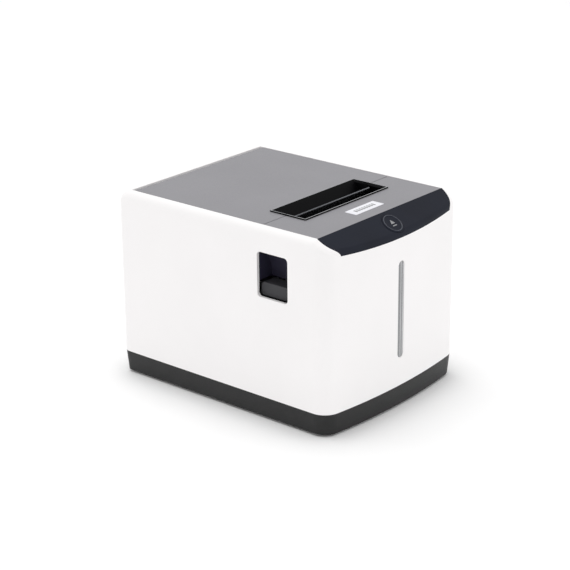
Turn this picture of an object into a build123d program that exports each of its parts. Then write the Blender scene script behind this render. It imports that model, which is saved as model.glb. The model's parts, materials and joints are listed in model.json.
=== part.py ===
from math import atan2, cos, hypot, pi, radians, sin, sqrt, tan
import os

from build123d import *

os.makedirs("parts", exist_ok=True)

# Desktop thermal receipt printer, clamshell type, for 80 mm paper rolls. Millimetres.
# Origin under the middle of the footprint, +Z up, the front faces -Y, +X to the right.

# ---- Casing sizes ----
WIDTH = 146.0
DEPTH = 192.0
FOOT_PROUD = 1.5
CASE_HEIGHT = 135.0
BASE_HEIGHT = 14.9
BASE_DRAFT_INSET = 1.4
WALL = 2.2
FRONT_BOW = 6.0
FRONT_CORNER_R = 12.3
REAR_CORNER_R = 6.2
REAR_TOP_R = 11.0
EDGE_R = 5.2
PANEL_RUN = 16.7
PANEL_DROP = 10.85
SEAM_Y = -33.8
SEAM_GAP = 0.3
LID_GAP = 0.6
COVER_GAP = 0.2
PANEL_GAP = 0.25
PANEL_CORNER_R = 13.4
LIP_PROUD = 1.0

FRONT = -DEPTH / 2
REAR = DEPTH / 2
BASE_BOTTOM = FOOT_PROUD
BASE_TOP = BASE_BOTTOM + BASE_HEIGHT
TOP = FOOT_PROUD + CASE_HEIGHT
ROOF = TOP - WALL
INNER_HALF = WIDTH / 2 - WALL
OPENING_HALF = WIDTH / 2 - EDGE_R + 0.1
PANEL_TOP_Y = FRONT + PANEL_RUN
PANEL_SLOPE = atan2(PANEL_DROP, PANEL_RUN)
PANEL_THICK = EDGE_R * tan((pi / 2 - PANEL_SLOPE) / 2) * cos(PANEL_SLOPE) + 0.2

# ---- Paper and print mechanism sizes ----
PAPER_WIDTH = 80.0
ROLL_AT = (35.0, 61.5)
BAY_R = 42.0
BAY_WALL = 2.0
BAY_HALF = 44.0
PLATEN_AT = (-25.3, 116.5)
PLATEN_R = 6.2
PLATEN_HALF = 40.5
SHAFT_R = 2.5
BUSHING_R = 4.0
RUNNING_FIT = 0.05
SOFT_GAP = 0.3
FRAME_HALF = 48.0
FRAME_THICK = 1.2
FRAME_OUT = FRAME_HALF + FRAME_THICK
FRAME_FRONT = -55.0
FRAME_REAR = -10.0
FRAME_FLOOR = 44.0
FRAME_TOP = 126.0
HINGE_R = 3.5
HINGE_AT = (81.4, TOP - HINGE_R)
HINGE_PIN_R = 1.25
LUG_IN = 50.0
LUG_OUT = 56.0
LUG_GAP = 0.4
LATCH_AT = (-27.0, 91.5)
LATCH_CLEAR = 0.35
HOOK_IN = 49.7
HOOK_OUT = 51.2

# ---- Gear sizes ----
MODULE = 0.6
PRESSURE = radians(20)
BACKLASH = 0.12
PLATEN_TEETH = 32
SMALL_TEETH = 16
LARGE_TEETH = 40
IDLER_TEETH = 24
PINION_TEETH = 12
GUIDE_TEETH = 20
INNER_GEARS = (52.0, 55.2)
OUTER_GEARS = (56.0, 59.4)
MOTOR_AT = (-30.0, 73.5)
MOTOR_R = 14.0
MOTOR_LENGTH = 19.0
STUD_R = 1.5


# ---- Shape helpers: each one works on the part being built ----
def block(x_range, y_range, z_range, mode=Mode.ADD):
    """A rectangular block between two corners."""
    size = [abs(high - low) for low, high in (x_range, y_range, z_range)]
    middle = [(high + low) / 2 for low, high in (x_range, y_range, z_range)]
    with Locations(tuple(middle)):
        Box(*size, mode=mode)


def mirrored_blocks(x_range, y_range, z_range, mode=Mode.ADD):
    """The same block on the left and on the right."""
    block(x_range, y_range, z_range, mode)
    block((-x_range[1], -x_range[0]), y_range, z_range, mode)


def rod_x(at, radius, x_range, mode=Mode.ADD):
    """A round rod along X, at a (y, z) point."""
    middle = ((x_range[0] + x_range[1]) / 2, at[0], at[1])
    with Locations(Location(middle, (0, 90, 0))):
        Cylinder(radius, abs(x_range[1] - x_range[0]), mode=mode)


def rod_y(at, radius, y_range, mode=Mode.ADD):
    """A round rod along Y, at an (x, z) point."""
    middle = (at[0], (y_range[0] + y_range[1]) / 2, at[1])
    with Locations(Location(middle, (90, 0, 0))):
        Cylinder(radius, abs(y_range[1] - y_range[0]), mode=mode)


def rod_z(at, radius, z_range, mode=Mode.ADD):
    """A round rod along Z, at an (x, y) point."""
    with Locations((at[0], at[1], (z_range[0] + z_range[1]) / 2)):
        Cylinder(radius, abs(z_range[1] - z_range[0]), mode=mode)


def profile_x(points, x_range, mode=Mode.ADD):
    """A straight-sided (y, z) outline drawn out along X."""
    with BuildSketch(Plane.YZ.offset(x_range[0])) as outline:
        with BuildLine():
            Polyline(*points, close=True)
        make_face()
    extrude(outline.sketch, amount=x_range[1] - x_range[0], mode=mode)


def sketch_x(sketch, x_range, mode=Mode.ADD):
    """A flat (y, z) sketch drawn out along X."""
    extrude(Plane.YZ.offset(x_range[0]) * sketch, amount=x_range[1] - x_range[0], mode=mode)


def disc(at, radius):
    """A flat disc in the (y, z) sketch plane."""
    with BuildSketch(Plane.XY, mode=Mode.PRIVATE) as flat:
        with Locations(at):
            Circle(radius)
    return flat.sketch


def rect(y_range, z_range):
    """A flat rectangle in the (y, z) sketch plane."""
    with BuildSketch(Plane.XY, mode=Mode.PRIVATE) as flat:
        with Locations(((y_range[0] + y_range[1]) / 2, (z_range[0] + z_range[1]) / 2)):
            Rectangle(y_range[1] - y_range[0], z_range[1] - z_range[0])
    return flat.sketch


def polygon(points):
    """A flat closed outline."""
    with BuildSketch(Plane.XY, mode=Mode.PRIVATE) as flat:
        with BuildLine():
            Polyline(*points, close=True)
        make_face()
    return flat.sketch


def involute_angle(radius, base_radius):
    """Roll angle of an involute at a radius."""
    pressure = sqrt(max(0.0, (radius / base_radius) ** 2 - 1))
    return pressure - atan2(pressure, 1)


def gear_face(teeth, phase, at):
    """An involute gear outline with one tooth centred at the phase angle."""
    pitch_r = MODULE * teeth / 2
    base_r = pitch_r * cos(PRESSURE)
    tip_r = pitch_r + MODULE
    root_r = pitch_r - 1.25 * MODULE
    half_tooth = pi / (2 * teeth) - BACKLASH / (2 * pitch_r)
    at_pitch = involute_angle(pitch_r, base_r)
    start_r = max(base_r, root_r)
    flank_steps = 5
    flank = []
    for step in range(flank_steps + 1):
        radius = start_r + (tip_r - start_r) * step / flank_steps
        flank.append((radius, half_tooth + at_pitch - involute_angle(radius, base_r)))
    points = []
    for tooth in range(teeth):
        middle = phase + 2 * pi * tooth / teeth
        outline = [(root_r, -flank[0][1])]
        outline += [(radius, -angle) for radius, angle in flank]
        outline += [(radius, angle) for radius, angle in reversed(flank)]
        outline += [(root_r, flank[0][1])]
        if base_r <= root_r:
            outline = outline[1:-1]
        for radius, angle in outline:
            points.append((at[0] + radius * cos(middle + angle), at[1] + radius * sin(middle + angle)))
    return polygon(points)


def meshed_phase(phase, teeth, direction, mate_teeth):
    """The tooth phase of a gear that meshes with another one lying in a direction from it."""
    offset = phase - direction
    return direction + pi - offset * teeth / mate_teeth + pi / mate_teeth


def step_from(at, angle, distance):
    """The point a distance away from another one."""
    return (at[0] + distance * cos(angle), at[1] + distance * sin(angle))


def plan_outline(inset):
    """The casing seen from above: straight sides, bowed front and rounded corners."""
    half = WIDTH / 2 - inset
    bow_r = ((WIDTH / 2) ** 2 + FRONT_BOW ** 2) / (2 * FRONT_BOW) - inset
    side_front = FRONT + inset + bow_r - sqrt(bow_r ** 2 - half ** 2)
    rear = REAR - inset
    with BuildSketch(Plane.XY) as plan:
        with BuildLine():
            Polyline((half, side_front), (half, rear), (-half, rear), (-half, side_front))
            ThreePointArc((-half, side_front), (0, FRONT + inset), (half, side_front))
        make_face()
        fillet(plan.vertices().group_by(Axis.Y)[0], FRONT_CORNER_R - inset)
        fillet(plan.vertices().group_by(Axis.Y)[-1], max(REAR_CORNER_R - inset, 1.0))
    return plan.sketch


def is_rim_edge(edge):
    """True for the upper rim: every edge that is not upright, not at the foot and not across."""
    direction = edge.tangent_at(0.5)
    across = edge.geom_type == GeomType.LINE and abs(direction.X) > 0.999
    upright = abs(direction.Z) > 0.999
    return edge.center().Z > BASE_TOP + 1 and not across and not upright


def casing_form(inset, bottom, rim_r):
    """The whole casing shape, moved inwards by an inset, with a rounded upper rim."""
    top_y = PANEL_TOP_Y + inset * tan(PANEL_SLOPE / 2)
    front_z = TOP - PANEL_DROP - inset * tan((pi / 2 - PANEL_SLOPE) / 2)
    with BuildPart() as form:
        with BuildSketch(Plane.YZ) as side:
            with BuildLine():
                Polyline(
                    (FRONT + inset, bottom),
                    (FRONT + inset, front_z),
                    (top_y, TOP - inset),
                    (REAR - inset, TOP - inset),
                    (REAR - inset, bottom),
                    close=True,
                )
            make_face()
            fillet(side.vertices().group_by(Axis.Y)[-1].sort_by(Axis.X)[-1], REAR_TOP_R - inset)
        extrude(amount=WIDTH, both=True)
        with BuildSketch(Plane.XY.offset(bottom)):
            add(plan_outline(inset))
        extrude(amount=TOP - bottom, mode=Mode.INTERSECT)
        if rim_r > 0:
            fillet(form.edges().filter_by(is_rim_edge), rim_r)
    return form.part


def panel_zone(gap):
    """The upright space that the control panel fills, seen from above."""
    half = OPENING_HALF - gap
    radius = PANEL_CORNER_R
    straight = half - radius
    diagonal = radius * cos(pi / 4)
    start = PANEL_TOP_Y - 0.3
    with BuildSketch(Plane.XY) as zone:
        with BuildLine():
            Line((-half, PANEL_TOP_Y), (-half, start))
            left_middle = (-straight - diagonal, start - diagonal)
            ThreePointArc((-half, start), left_middle, (-straight, start - radius))
            Polyline(
                (-straight, start - radius),
                (-straight, FRONT - WALL),
                (straight, FRONT - WALL),
                (straight, start - radius),
            )
            right_middle = (straight + diagonal, start - diagonal)
            ThreePointArc((straight, start - radius), right_middle, (half, start))
            Line((half, start), (half, PANEL_TOP_Y))
            Line((half, PANEL_TOP_Y), (-half, PANEL_TOP_Y))
        make_face()
    return zone.sketch


def above_panel_plane(depth):
    """A thick slab over the plane that lies a depth below the control panel surface."""
    reach = 60.0
    outward = (-sin(PANEL_SLOPE), cos(PANEL_SLOPE))
    along = (cos(PANEL_SLOPE), sin(PANEL_SLOPE))
    start = (PANEL_TOP_Y - outward[0] * depth, TOP - outward[1] * depth)
    low = (start[0] - along[0] * reach, start[1] - along[1] * reach)
    high = (start[0] + along[0] * reach, start[1] + along[1] * reach)
    points = [low, high]
    points.append((high[0] + outward[0] * reach, high[1] + outward[1] * reach))
    points.append((low[0] + outward[0] * reach, low[1] + outward[1] * reach))
    return extrude(Plane.YZ * polygon(points), amount=WIDTH, both=True, mode=Mode.PRIVATE)


def panel_space(gap, depth):
    """The solid space of the control panel, before its outer skin is cut."""
    column = extrude(Pos(0, 0, BASE_TOP) * panel_zone(gap), amount=TOP, mode=Mode.PRIVATE)
    return column & above_panel_plane(depth)


CASING = casing_form(0, BASE_TOP, EDGE_R)
CAVITY = casing_form(WALL, BASE_BOTTOM, 0)
PANEL_OPENING = panel_space(-PANEL_GAP, PANEL_THICK)
PANEL_FILL = panel_space(0, PANEL_THICK)

# ---- Layout derived from the sizes ----
lid_rear = HINGE_AT[0] + HINGE_R
opening_rear = lid_rear + LID_GAP
lid_front = SEAM_Y + SEAM_GAP
cover_rear = SEAM_Y - SEAM_GAP
lid_half = OPENING_HALF - LID_GAP
cover_half = OPENING_HALF - COVER_GAP
lift_angle = atan2(PLATEN_AT[1] - HINGE_AT[1], PLATEN_AT[0] - HINGE_AT[0])
to_head = (cos(lift_angle), sin(lift_angle))
lift = (to_head[1], -to_head[0])
head_contact = step_from(PLATEN_AT, lift_angle, PLATEN_R)


def head_point(out, up):
    """A (y, z) point measured from the print line: out from the platen, and up along the head."""
    return (
        head_contact[0] + to_head[0] * out + lift[0] * up,
        head_contact[1] + to_head[1] * out + lift[1] * up,
    )


def head_outline(out_range, up_range):
    """A rectangle in the print head's own slanted directions."""
    corners = [
        (out_range[0], up_range[0]),
        (out_range[1], up_range[0]),
        (out_range[1], up_range[1]),
        (out_range[0], up_range[1]),
    ]
    return [head_point(out, up) for out, up in corners]


gear_distance = MODULE * (PLATEN_TEETH + SMALL_TEETH) / 2
idler_distance = MODULE * (LARGE_TEETH + IDLER_TEETH) / 2
pinion_distance = MODULE * (IDLER_TEETH + PINION_TEETH) / 2
down_angle = atan2(-lift[1], -lift[0])
REDUCTION_AT = step_from(PLATEN_AT, down_angle, gear_distance)
to_motor = atan2(MOTOR_AT[1] - REDUCTION_AT[1], MOTOR_AT[0] - REDUCTION_AT[0])
motor_reach = hypot(MOTOR_AT[1] - REDUCTION_AT[1], MOTOR_AT[0] - REDUCTION_AT[0])
idler_cosine = (idler_distance ** 2 + motor_reach ** 2 - pinion_distance ** 2)
idler_cosine = idler_cosine / (2 * idler_distance * motor_reach)
idler_turn = atan2(sqrt(1 - idler_cosine ** 2), idler_cosine)
idler_angle = to_motor + idler_turn
IDLER_AT = step_from(REDUCTION_AT, idler_angle, idler_distance)
pinion_angle = atan2(MOTOR_AT[1] - IDLER_AT[1], MOTOR_AT[0] - IDLER_AT[0])
platen_phase = down_angle
small_phase = meshed_phase(platen_phase, PLATEN_TEETH, down_angle, SMALL_TEETH)
large_phase = small_phase
idler_phase = meshed_phase(large_phase, LARGE_TEETH, idler_angle, IDLER_TEETH)
pinion_phase = meshed_phase(idler_phase, IDLER_TEETH, pinion_angle, PINION_TEETH)

# Places shared by several pieces
FRAME_POSTS = [(40.0, -49.0), (-40.0, -49.0), (40.0, -16.0), (-40.0, -16.0)]
BAY_POSTS = [(51.0, 10.0), (-51.0, 10.0), (51.0, 66.0), (-51.0, 66.0)]
BAY_EAR_Z = 40.0
BAY_EAR_THICK = 3.0
CASE_SCREWS = [(63.5, -70.0), (-63.5, -70.0), (63.5, 80.0), (-63.5, 80.0)]
FEET = [(56.0, -76.0), (-56.0, -76.0), (56.0, 80.0), (-56.0, 80.0)]
BOARD_SCREWS = [(56.0, -2.0), (-56.0, -2.0), (56.0, 56.0), (-56.0, 56.0)]
FLOOR_TOP = BASE_BOTTOM + 2.5
BOARD_Z = 7.5
BOARD_THICK = 1.6
SCREW_R = 1.5
SCREW_FIT = 0.02
SCREW_HEAD_R = 2.8
SCREW_HEAD = 2.0
POST_R = 4.0
WINDOW_Y = (-58.4, -32.4)
WINDOW_Z = (87.8, 119.4)
WINDOW_R = 2.8
LIGHT_HALF = 3.2
LIGHT_Z = (36.9, 106.3)
LIGHT_FIT = 0.1
BOW_FIT = 0.06
KEY_R = 8.15
KEY_FIT = 0.2
KEY_DOWN = 10.6
COLLAR_GAP = 0.3
SLOT_HALF = 42.5
LIP_HALF = 45.1
BEZEL_HALF = 44.3
LIP_REAR = -20.0
SLOT_REAR = -21.2
SLOT_FRONT = -47.5
LIP_FRONT = -50.7
BLADE_Y = (-36.8, -35.8)
BLADE_Z = (124.0, TOP - 1.3)
SWITCH_X = (43.5, 58.0)
SWITCH_Z = (28.0, 38.0)
POWER_X = (24.0, 33.0)
USB_X = (-4.0, 8.0)
DRAWER_X = (-32.0, -18.0)
PORT_Z = (24.0, 38.0)

LUG_R = 2.1
LUG_ARM = [
    (HINGE_AT[0] - 2.0, HINGE_AT[1] + 0.3),
    (HINGE_AT[0] - 0.2, HINGE_AT[1] - LUG_R),
    (HINGE_AT[0] - 0.4, HINGE_AT[1] - HINGE_R - 0.5),
    (REAR - WALL + 0.2, HINGE_AT[1] - HINGE_R - 0.5),
    (REAR - WALL + 0.2, HINGE_AT[1] - HINGE_R - 3.0),
    (HINGE_AT[0] - 4.6, HINGE_AT[1] - HINGE_R - 3.0),
    (HINGE_AT[0] - 4.6, HINGE_AT[1] - 2.5),
]

# ---- Casing: dark base tray ----
with BuildPart() as base_tray:
    with BuildSketch(Plane.XY.offset(BASE_BOTTOM)):
        add(plan_outline(BASE_DRAFT_INSET))
    with BuildSketch(Plane.XY.offset(BASE_TOP)):
        add(plan_outline(0))
    loft()
    with BuildSketch(Plane.XY.offset(FLOOR_TOP)):
        add(plan_outline(WALL + BASE_DRAFT_INSET))
    extrude(amount=BASE_HEIGHT, mode=Mode.SUBTRACT)
    for x, y in FRAME_POSTS:
        rod_z((x, y), POST_R, (FLOOR_TOP, FRAME_FLOOR))
        rod_z((x, y), SCREW_R + SCREW_FIT, (FRAME_FLOOR - 9, FRAME_FLOOR), Mode.SUBTRACT)
    for x, y in BAY_POSTS:
        rod_z((x, y), POST_R, (FLOOR_TOP, BAY_EAR_Z))
        rod_z((x, y), SCREW_R + SCREW_FIT, (BAY_EAR_Z - 9, BAY_EAR_Z), Mode.SUBTRACT)
    for x, y in BOARD_SCREWS:
        rod_z((x, y), POST_R - 1, (FLOOR_TOP, BOARD_Z))
        rod_z((x, y), 1.0 + SCREW_FIT, (FLOOR_TOP - 0.5, BOARD_Z), Mode.SUBTRACT)
    for x, y in CASE_SCREWS:
        rod_z((x, y), POST_R + 1, (FLOOR_TOP, BASE_TOP))
        rod_z((x, y), SCREW_R + 0.2, (BASE_BOTTOM, BASE_TOP), Mode.SUBTRACT)
        rod_z((x, y), SCREW_HEAD_R + 0.4, (BASE_BOTTOM, BASE_BOTTOM + 4), Mode.SUBTRACT)
    for x, y in FEET:
        rod_z((x, y), 6.2, (BASE_BOTTOM, BASE_BOTTOM + 1), Mode.SUBTRACT)

# ---- Casing: light upper shell ----
with BuildPart() as shell:
    add(CASING)
    add(CAVITY, mode=Mode.SUBTRACT)
    block((-OPENING_HALF, OPENING_HALF), (PANEL_TOP_Y, opening_rear), (TOP - 12, TOP + 1), Mode.SUBTRACT)
    add(PANEL_OPENING, mode=Mode.SUBTRACT)
    with BuildSketch(Plane.YZ.offset(-WIDTH / 2 - 1)) as window:
        with Locations((sum(WINDOW_Y) / 2, sum(WINDOW_Z) / 2)):
            RectangleRounded(WINDOW_Y[1] - WINDOW_Y[0], WINDOW_Z[1] - WINDOW_Z[0], WINDOW_R)
    extrude(amount=WALL + 2, mode=Mode.SUBTRACT)
    with BuildSketch(Plane.XZ.offset(-FRONT - WALL - 1)) as light_slot:
        with Locations((0, sum(LIGHT_Z) / 2)):
            SlotOverall(LIGHT_Z[1] - LIGHT_Z[0], 2 * LIGHT_HALF, rotation=90)
    extrude(amount=WALL + 2, mode=Mode.SUBTRACT)
    for x, y in CASE_SCREWS:
        rod_z((x, y), POST_R + 1, (BASE_TOP, BASE_TOP + 16))
        side = 1 if x > 0 else -1
        block(sorted((x, side * (INNER_HALF + 1))), (y - 2, y + 2), (BASE_TOP, BASE_TOP + 16))
        rod_z((x, y), SCREW_R + SCREW_FIT, (BASE_TOP, BASE_TOP + 12), Mode.SUBTRACT)
    for side in (-1, 1):
        lug = sorted((side * LUG_IN, side * LUG_OUT))
        profile_x(LUG_ARM, lug)
        rod_x(HINGE_AT, LUG_R, lug)
        rod_x(HINGE_AT, HINGE_PIN_R + SCREW_FIT, lug, Mode.SUBTRACT)
    block(SWITCH_X, (REAR - WALL - 1, REAR + 1), SWITCH_Z, Mode.SUBTRACT)
    for port in (POWER_X, USB_X, DRAWER_X):
        block(port, (REAR - WALL - 1, REAR + 1), PORT_Z, Mode.SUBTRACT)

# ---- Casing: fixed grey top cover in front of the seam ----
with BuildPart() as front_cover:
    block((-cover_half, cover_half), (PANEL_TOP_Y, cover_rear), (ROOF, TOP))
    mirrored_blocks((cover_half - WALL, cover_half), (PANEL_TOP_Y + 4, cover_rear), (ROOF - 3, ROOF))
    mirrored_blocks((cover_half - WALL, INNER_HALF - 0.4), (-74, -38), (ROOF - 3, ROOF - SCREW_FIT))
    block((-BEZEL_HALF, BEZEL_HALF), (LIP_FRONT + 0.8, cover_rear), (ROOF - 1, TOP + 1), Mode.SUBTRACT)
    fillet(front_cover.edges().filter_by(Axis.X).group_by(Axis.Z)[-1].group_by(Axis.Y)[-1], 0.25)

# ---- Casing: dark control panel ----
panel_out = Plane(
    origin=(0, PANEL_TOP_Y, TOP),
    x_dir=(1, 0, 0),
    z_dir=(0, -sin(PANEL_SLOPE), cos(PANEL_SLOPE)),
)
key_place = panel_out * Pos(0, -KEY_DOWN, 0)
KEY_SPACE = casing_form(WALL + COLLAR_GAP, BASE_BOTTOM, 0)


def key_ring(outer_r, inner_r, low, high):
    """A ring round the feed key, kept clear of the casing walls."""
    with BuildPart(mode=Mode.PRIVATE) as ring:
        with Locations(key_place * Pos(0, 0, (low + high) / 2)):
            Cylinder(outer_r, high - low)
            if inner_r > 0:
                Cylinder(inner_r, high - low, mode=Mode.SUBTRACT)
        add(KEY_SPACE, mode=Mode.INTERSECT)
    return ring.part


KEY_COLLAR = key_ring(KEY_R + 2.4, KEY_R + 1.4, -PANEL_THICK - 3.4, -PANEL_THICK + 0.1)
KEY_FLANGE = key_ring(KEY_R + 1.1, 0, -PANEL_THICK - 1.6, -PANEL_THICK - 0.3)
with BuildPart() as control_panel:
    add(PANEL_FILL)
    add(CASING, mode=Mode.INTERSECT)
    block((-WIDTH, WIDTH), (PANEL_TOP_Y - 0.1, PANEL_TOP_Y + 5), (TOP - 20, TOP + 5), Mode.SUBTRACT)
    with Locations(key_place):
        Cylinder(KEY_R + KEY_FIT, 4 * PANEL_THICK, mode=Mode.SUBTRACT)
    add(KEY_COLLAR)
    with Locations(key_place):
        Cylinder(KEY_R + KEY_FIT, 3 * PANEL_THICK, mode=Mode.SUBTRACT)

# ---- Round feed key ----
with BuildPart() as feed_key:
    with Locations(key_place * Pos(0, 0, -2.0)):
        Cylinder(KEY_R, 4.4)
    add(KEY_FLANGE)
    with Locations(key_place * Pos(0, 0, -3.9)):
        Cylinder(2.0, 3.2)
    fillet(feed_key.edges().filter_by(GeomType.CIRCLE).sort_by(Axis.Z)[-1], 0.5)
    with Locations(key_place * Pos(0, 0, 0.3)):
        Cylinder(5.9, 0.6, mode=Mode.SUBTRACT)
        Cylinder(5.1, 0.6, mode=Mode.ADD)

# ---- Lid ----
with BuildPart() as lid:
    block((-lid_half, lid_half), (lid_front, HINGE_AT[0]), (ROOF, TOP))
    mirrored_blocks((lid_half - WALL, lid_half), (lid_front + 1, HINGE_AT[0] - 6), (ROOF - 3, ROOF))
    rod_x(HINGE_AT, HINGE_R, (-lid_half, lid_half))
    for side in (-1, 1):
        gap_x = sorted((side * (LUG_IN - LUG_GAP), side * (LUG_OUT + LUG_GAP)))
        block(gap_x, (HINGE_AT[0] - HINGE_R - 3, lid_rear + 1), (HINGE_AT[1] - 5, HINGE_AT[1]), Mode.SUBTRACT)
        rod_x(HINGE_AT, LUG_R + LUG_GAP, gap_x, Mode.SUBTRACT)
        pin_x = sorted((side * (LUG_IN - 5), side * (LUG_OUT + 5)))
        rod_x(HINGE_AT, HINGE_PIN_R + RUNNING_FIT, pin_x, Mode.SUBTRACT)
    block((-BEZEL_HALF, BEZEL_HALF), (lid_front - 1, LIP_REAR - 0.8), (ROOF - 1, TOP + 1), Mode.SUBTRACT)

with BuildPart() as hinge_pins:
    for side in (-1, 1):
        pin_x = sorted((side * (LUG_IN - 4.5), side * (LUG_OUT + 4.5)))
        rod_x(HINGE_AT, HINGE_PIN_R, pin_x)

# ---- Lid: inner liner and platen holder ----
LINER = (ROOF - 1.8, ROOF)
with BuildPart() as lid_liner:
    block((-60, 60), (-6, 70), LINER)
    for x in (-32, 0, 32):
        profile_x([(4, LINER[0]), (64, LINER[0]), (52, LINER[0] - 6), (16, LINER[0] - 6)], (x - 1, x + 1))

with BuildPart() as platen_holder:
    block((-46.6, 46.6), (-17, -6.5), (ROOF - 1.6, ROOF))
    cheek_top = [(-17, ROOF), (-6.5, ROOF), (-6.5, ROOF - 4)]
    cheek = polygon(cheek_top + [(-19, 112), (-31, 112), (-31, 119), (-17, 127)])
    cheek = cheek + disc(PLATEN_AT, BUSHING_R + 1.6)
    for side in (-1, 1):
        sketch_x(cheek, sorted((side * 44.6, side * 46.6)))
        rod_x(PLATEN_AT, BUSHING_R + SCREW_FIT, sorted((side * 44, side * 47)), Mode.SUBTRACT)

# ---- Lid: rear half of the slot rim and funnel ----
with BuildPart() as lid_bezel:
    block((-LIP_HALF, LIP_HALF), (lid_front, LIP_REAR), (TOP, TOP + LIP_PROUD))
    block((-BEZEL_HALF, BEZEL_HALF), (lid_front, LIP_REAR - 0.8), (ROOF, TOP))
    block((-SLOT_HALF, SLOT_HALF), (lid_front - 1, SLOT_REAR), (ROOF - 1, TOP + 2), Mode.SUBTRACT)
    funnel = [(LIP_REAR - 0.8, ROOF), (SLOT_REAR, ROOF), (SLOT_REAR, TOP), (-30.3, 126.0), (-29.2, 125.0)]
    profile_x(funnel, (-BEZEL_HALF, BEZEL_HALF))
    end_wall = [(lid_front, TOP), (SLOT_REAR, TOP), (LIP_REAR - 0.8, ROOF)]
    end_wall += [(-29.2, 125.0), (lid_front, 125.0)]
    for side in (-1, 1):
        profile_x(end_wall, sorted((side * SLOT_HALF, side * BEZEL_HALF)))

# ---- Front half of the slot rim and funnel ----
with BuildPart() as front_bezel:
    block((-LIP_HALF, LIP_HALF), (LIP_FRONT, cover_rear), (TOP, TOP + LIP_PROUD))
    block((-BEZEL_HALF, BEZEL_HALF), (LIP_FRONT + 0.8, cover_rear), (ROOF, TOP))
    block((-SLOT_HALF, SLOT_HALF), (SLOT_FRONT, cover_rear + 1), (ROOF - 1, TOP + 2), Mode.SUBTRACT)
    funnel = [(LIP_FRONT + 0.8, ROOF), (SLOT_FRONT, TOP)]
    funnel += [(BLADE_Y[0], 127.6), (BLADE_Y[0], 126.0), (-39, 126.0)]
    profile_x(funnel, (-BEZEL_HALF, BEZEL_HALF))
    end_wall = [(LIP_FRONT + 0.8, ROOF), (SLOT_FRONT, TOP)]
    end_wall += [(cover_rear, TOP), (cover_rear, 126.0), (-39, 126.0)]
    for side in (-1, 1):
        profile_x(end_wall, sorted((side * SLOT_HALF, side * BEZEL_HALF)))

# ---- Steel tear bar with a toothed upper edge ----
TOOTH_PITCH = 1.3
TOOTH_DEPTH = 0.7
BLADE_HALF = SLOT_HALF - 0.1
with BuildPart() as tear_bar:
    tooth_count = int(2 * BLADE_HALF / TOOTH_PITCH)
    edge = []
    for tooth in range(tooth_count):
        left = -BLADE_HALF + tooth * 2 * BLADE_HALF / tooth_count
        edge.append((left, BLADE_Z[1] - TOOTH_DEPTH))
        edge.append((left + BLADE_HALF / tooth_count, BLADE_Z[1]))
    edge.append((BLADE_HALF, BLADE_Z[1] - TOOTH_DEPTH))
    with BuildSketch(Plane.XZ.offset(-BLADE_Y[1])) as blade:
        with BuildLine():
            Polyline(*edge, (BLADE_HALF, BLADE_Z[0]), (-BLADE_HALF, BLADE_Z[0]), close=True)
        make_face()
    extrude(amount=BLADE_Y[1] - BLADE_Y[0])
    block((-BLADE_HALF, BLADE_HALF), (BLADE_Y[0] - 3, BLADE_Y[1]), (BLADE_Z[0] - 1.0, BLADE_Z[0]))

with BuildPart() as front_label:
    with BuildSketch(Plane.XY.offset(TOP)):
        with Locations((0, -64.7)):
            RectangleRounded(30.5, 9.8, 0.4)
    extrude(amount=0.2)

# ---- Light bar in the front ----
with BuildPart() as light_bar:
    with BuildSketch(Plane.XZ.offset(-FRONT - WALL - 0.5)):
        with Locations((0, sum(LIGHT_Z) / 2)):
            SlotOverall(LIGHT_Z[1] - LIGHT_Z[0] - 2 * LIGHT_FIT, 2 * LIGHT_HALF - 2 * LIGHT_FIT, rotation=90)
    extrude(amount=WALL)
    with BuildSketch(Plane.XZ.offset(-FRONT - WALL - 1.2)):
        with Locations((0, sum(LIGHT_Z) / 2)):
            SlotOverall(LIGHT_Z[1] - LIGHT_Z[0] + 4, 2 * LIGHT_HALF + 4, rotation=90)
    extrude(amount=1.2 - BOW_FIT)
    block((-0.2, 0.2), (FRONT, FRONT + 0.8), (LIGHT_Z[0] + 3, LIGHT_Z[1] - 3), Mode.SUBTRACT)

LIGHT_BACK = FRONT + WALL + 1.2
with BuildPart() as light_board:
    for led in range(6):
        middle = LIGHT_Z[0] + 6 + led * (LIGHT_Z[1] - LIGHT_Z[0] - 12) / 5
        block((-1.7, 1.7), (LIGHT_BACK + 0.4, LIGHT_BACK + 2.4), (middle - 1.4, middle + 1.4))
    block((-6, 6), (LIGHT_BACK + 2.4, LIGHT_BACK + 4.0), (LIGHT_Z[0] - 3, LIGHT_Z[1] + 3))
    for z in (LIGHT_Z[0] - 1.5, LIGHT_Z[1] + 1.5):
        rod_y((0, z), 0.9, (LIGHT_BACK, LIGHT_BACK + 2.4))

# ---- Release lever, its pocket, and the latch ----
POCKET_BOTTOM = 98.2
with BuildPart() as lever_pocket:
    block((-INNER_HALF, -56.5), (WINDOW_Y[0] - 2, WINDOW_Y[1] + 2), (POCKET_BOTTOM, WINDOW_Z[1] + 2.2))
    with BuildSketch(Plane.XZ.offset(-WINDOW_Y[1])) as scoop:
        with Locations((-INNER_HALF, POCKET_BOTTOM)):
            Ellipse(12.8, WINDOW_Z[1] - POCKET_BOTTOM)
    extrude(amount=WINDOW_Y[1] - WINDOW_Y[0], mode=Mode.SUBTRACT)

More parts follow.
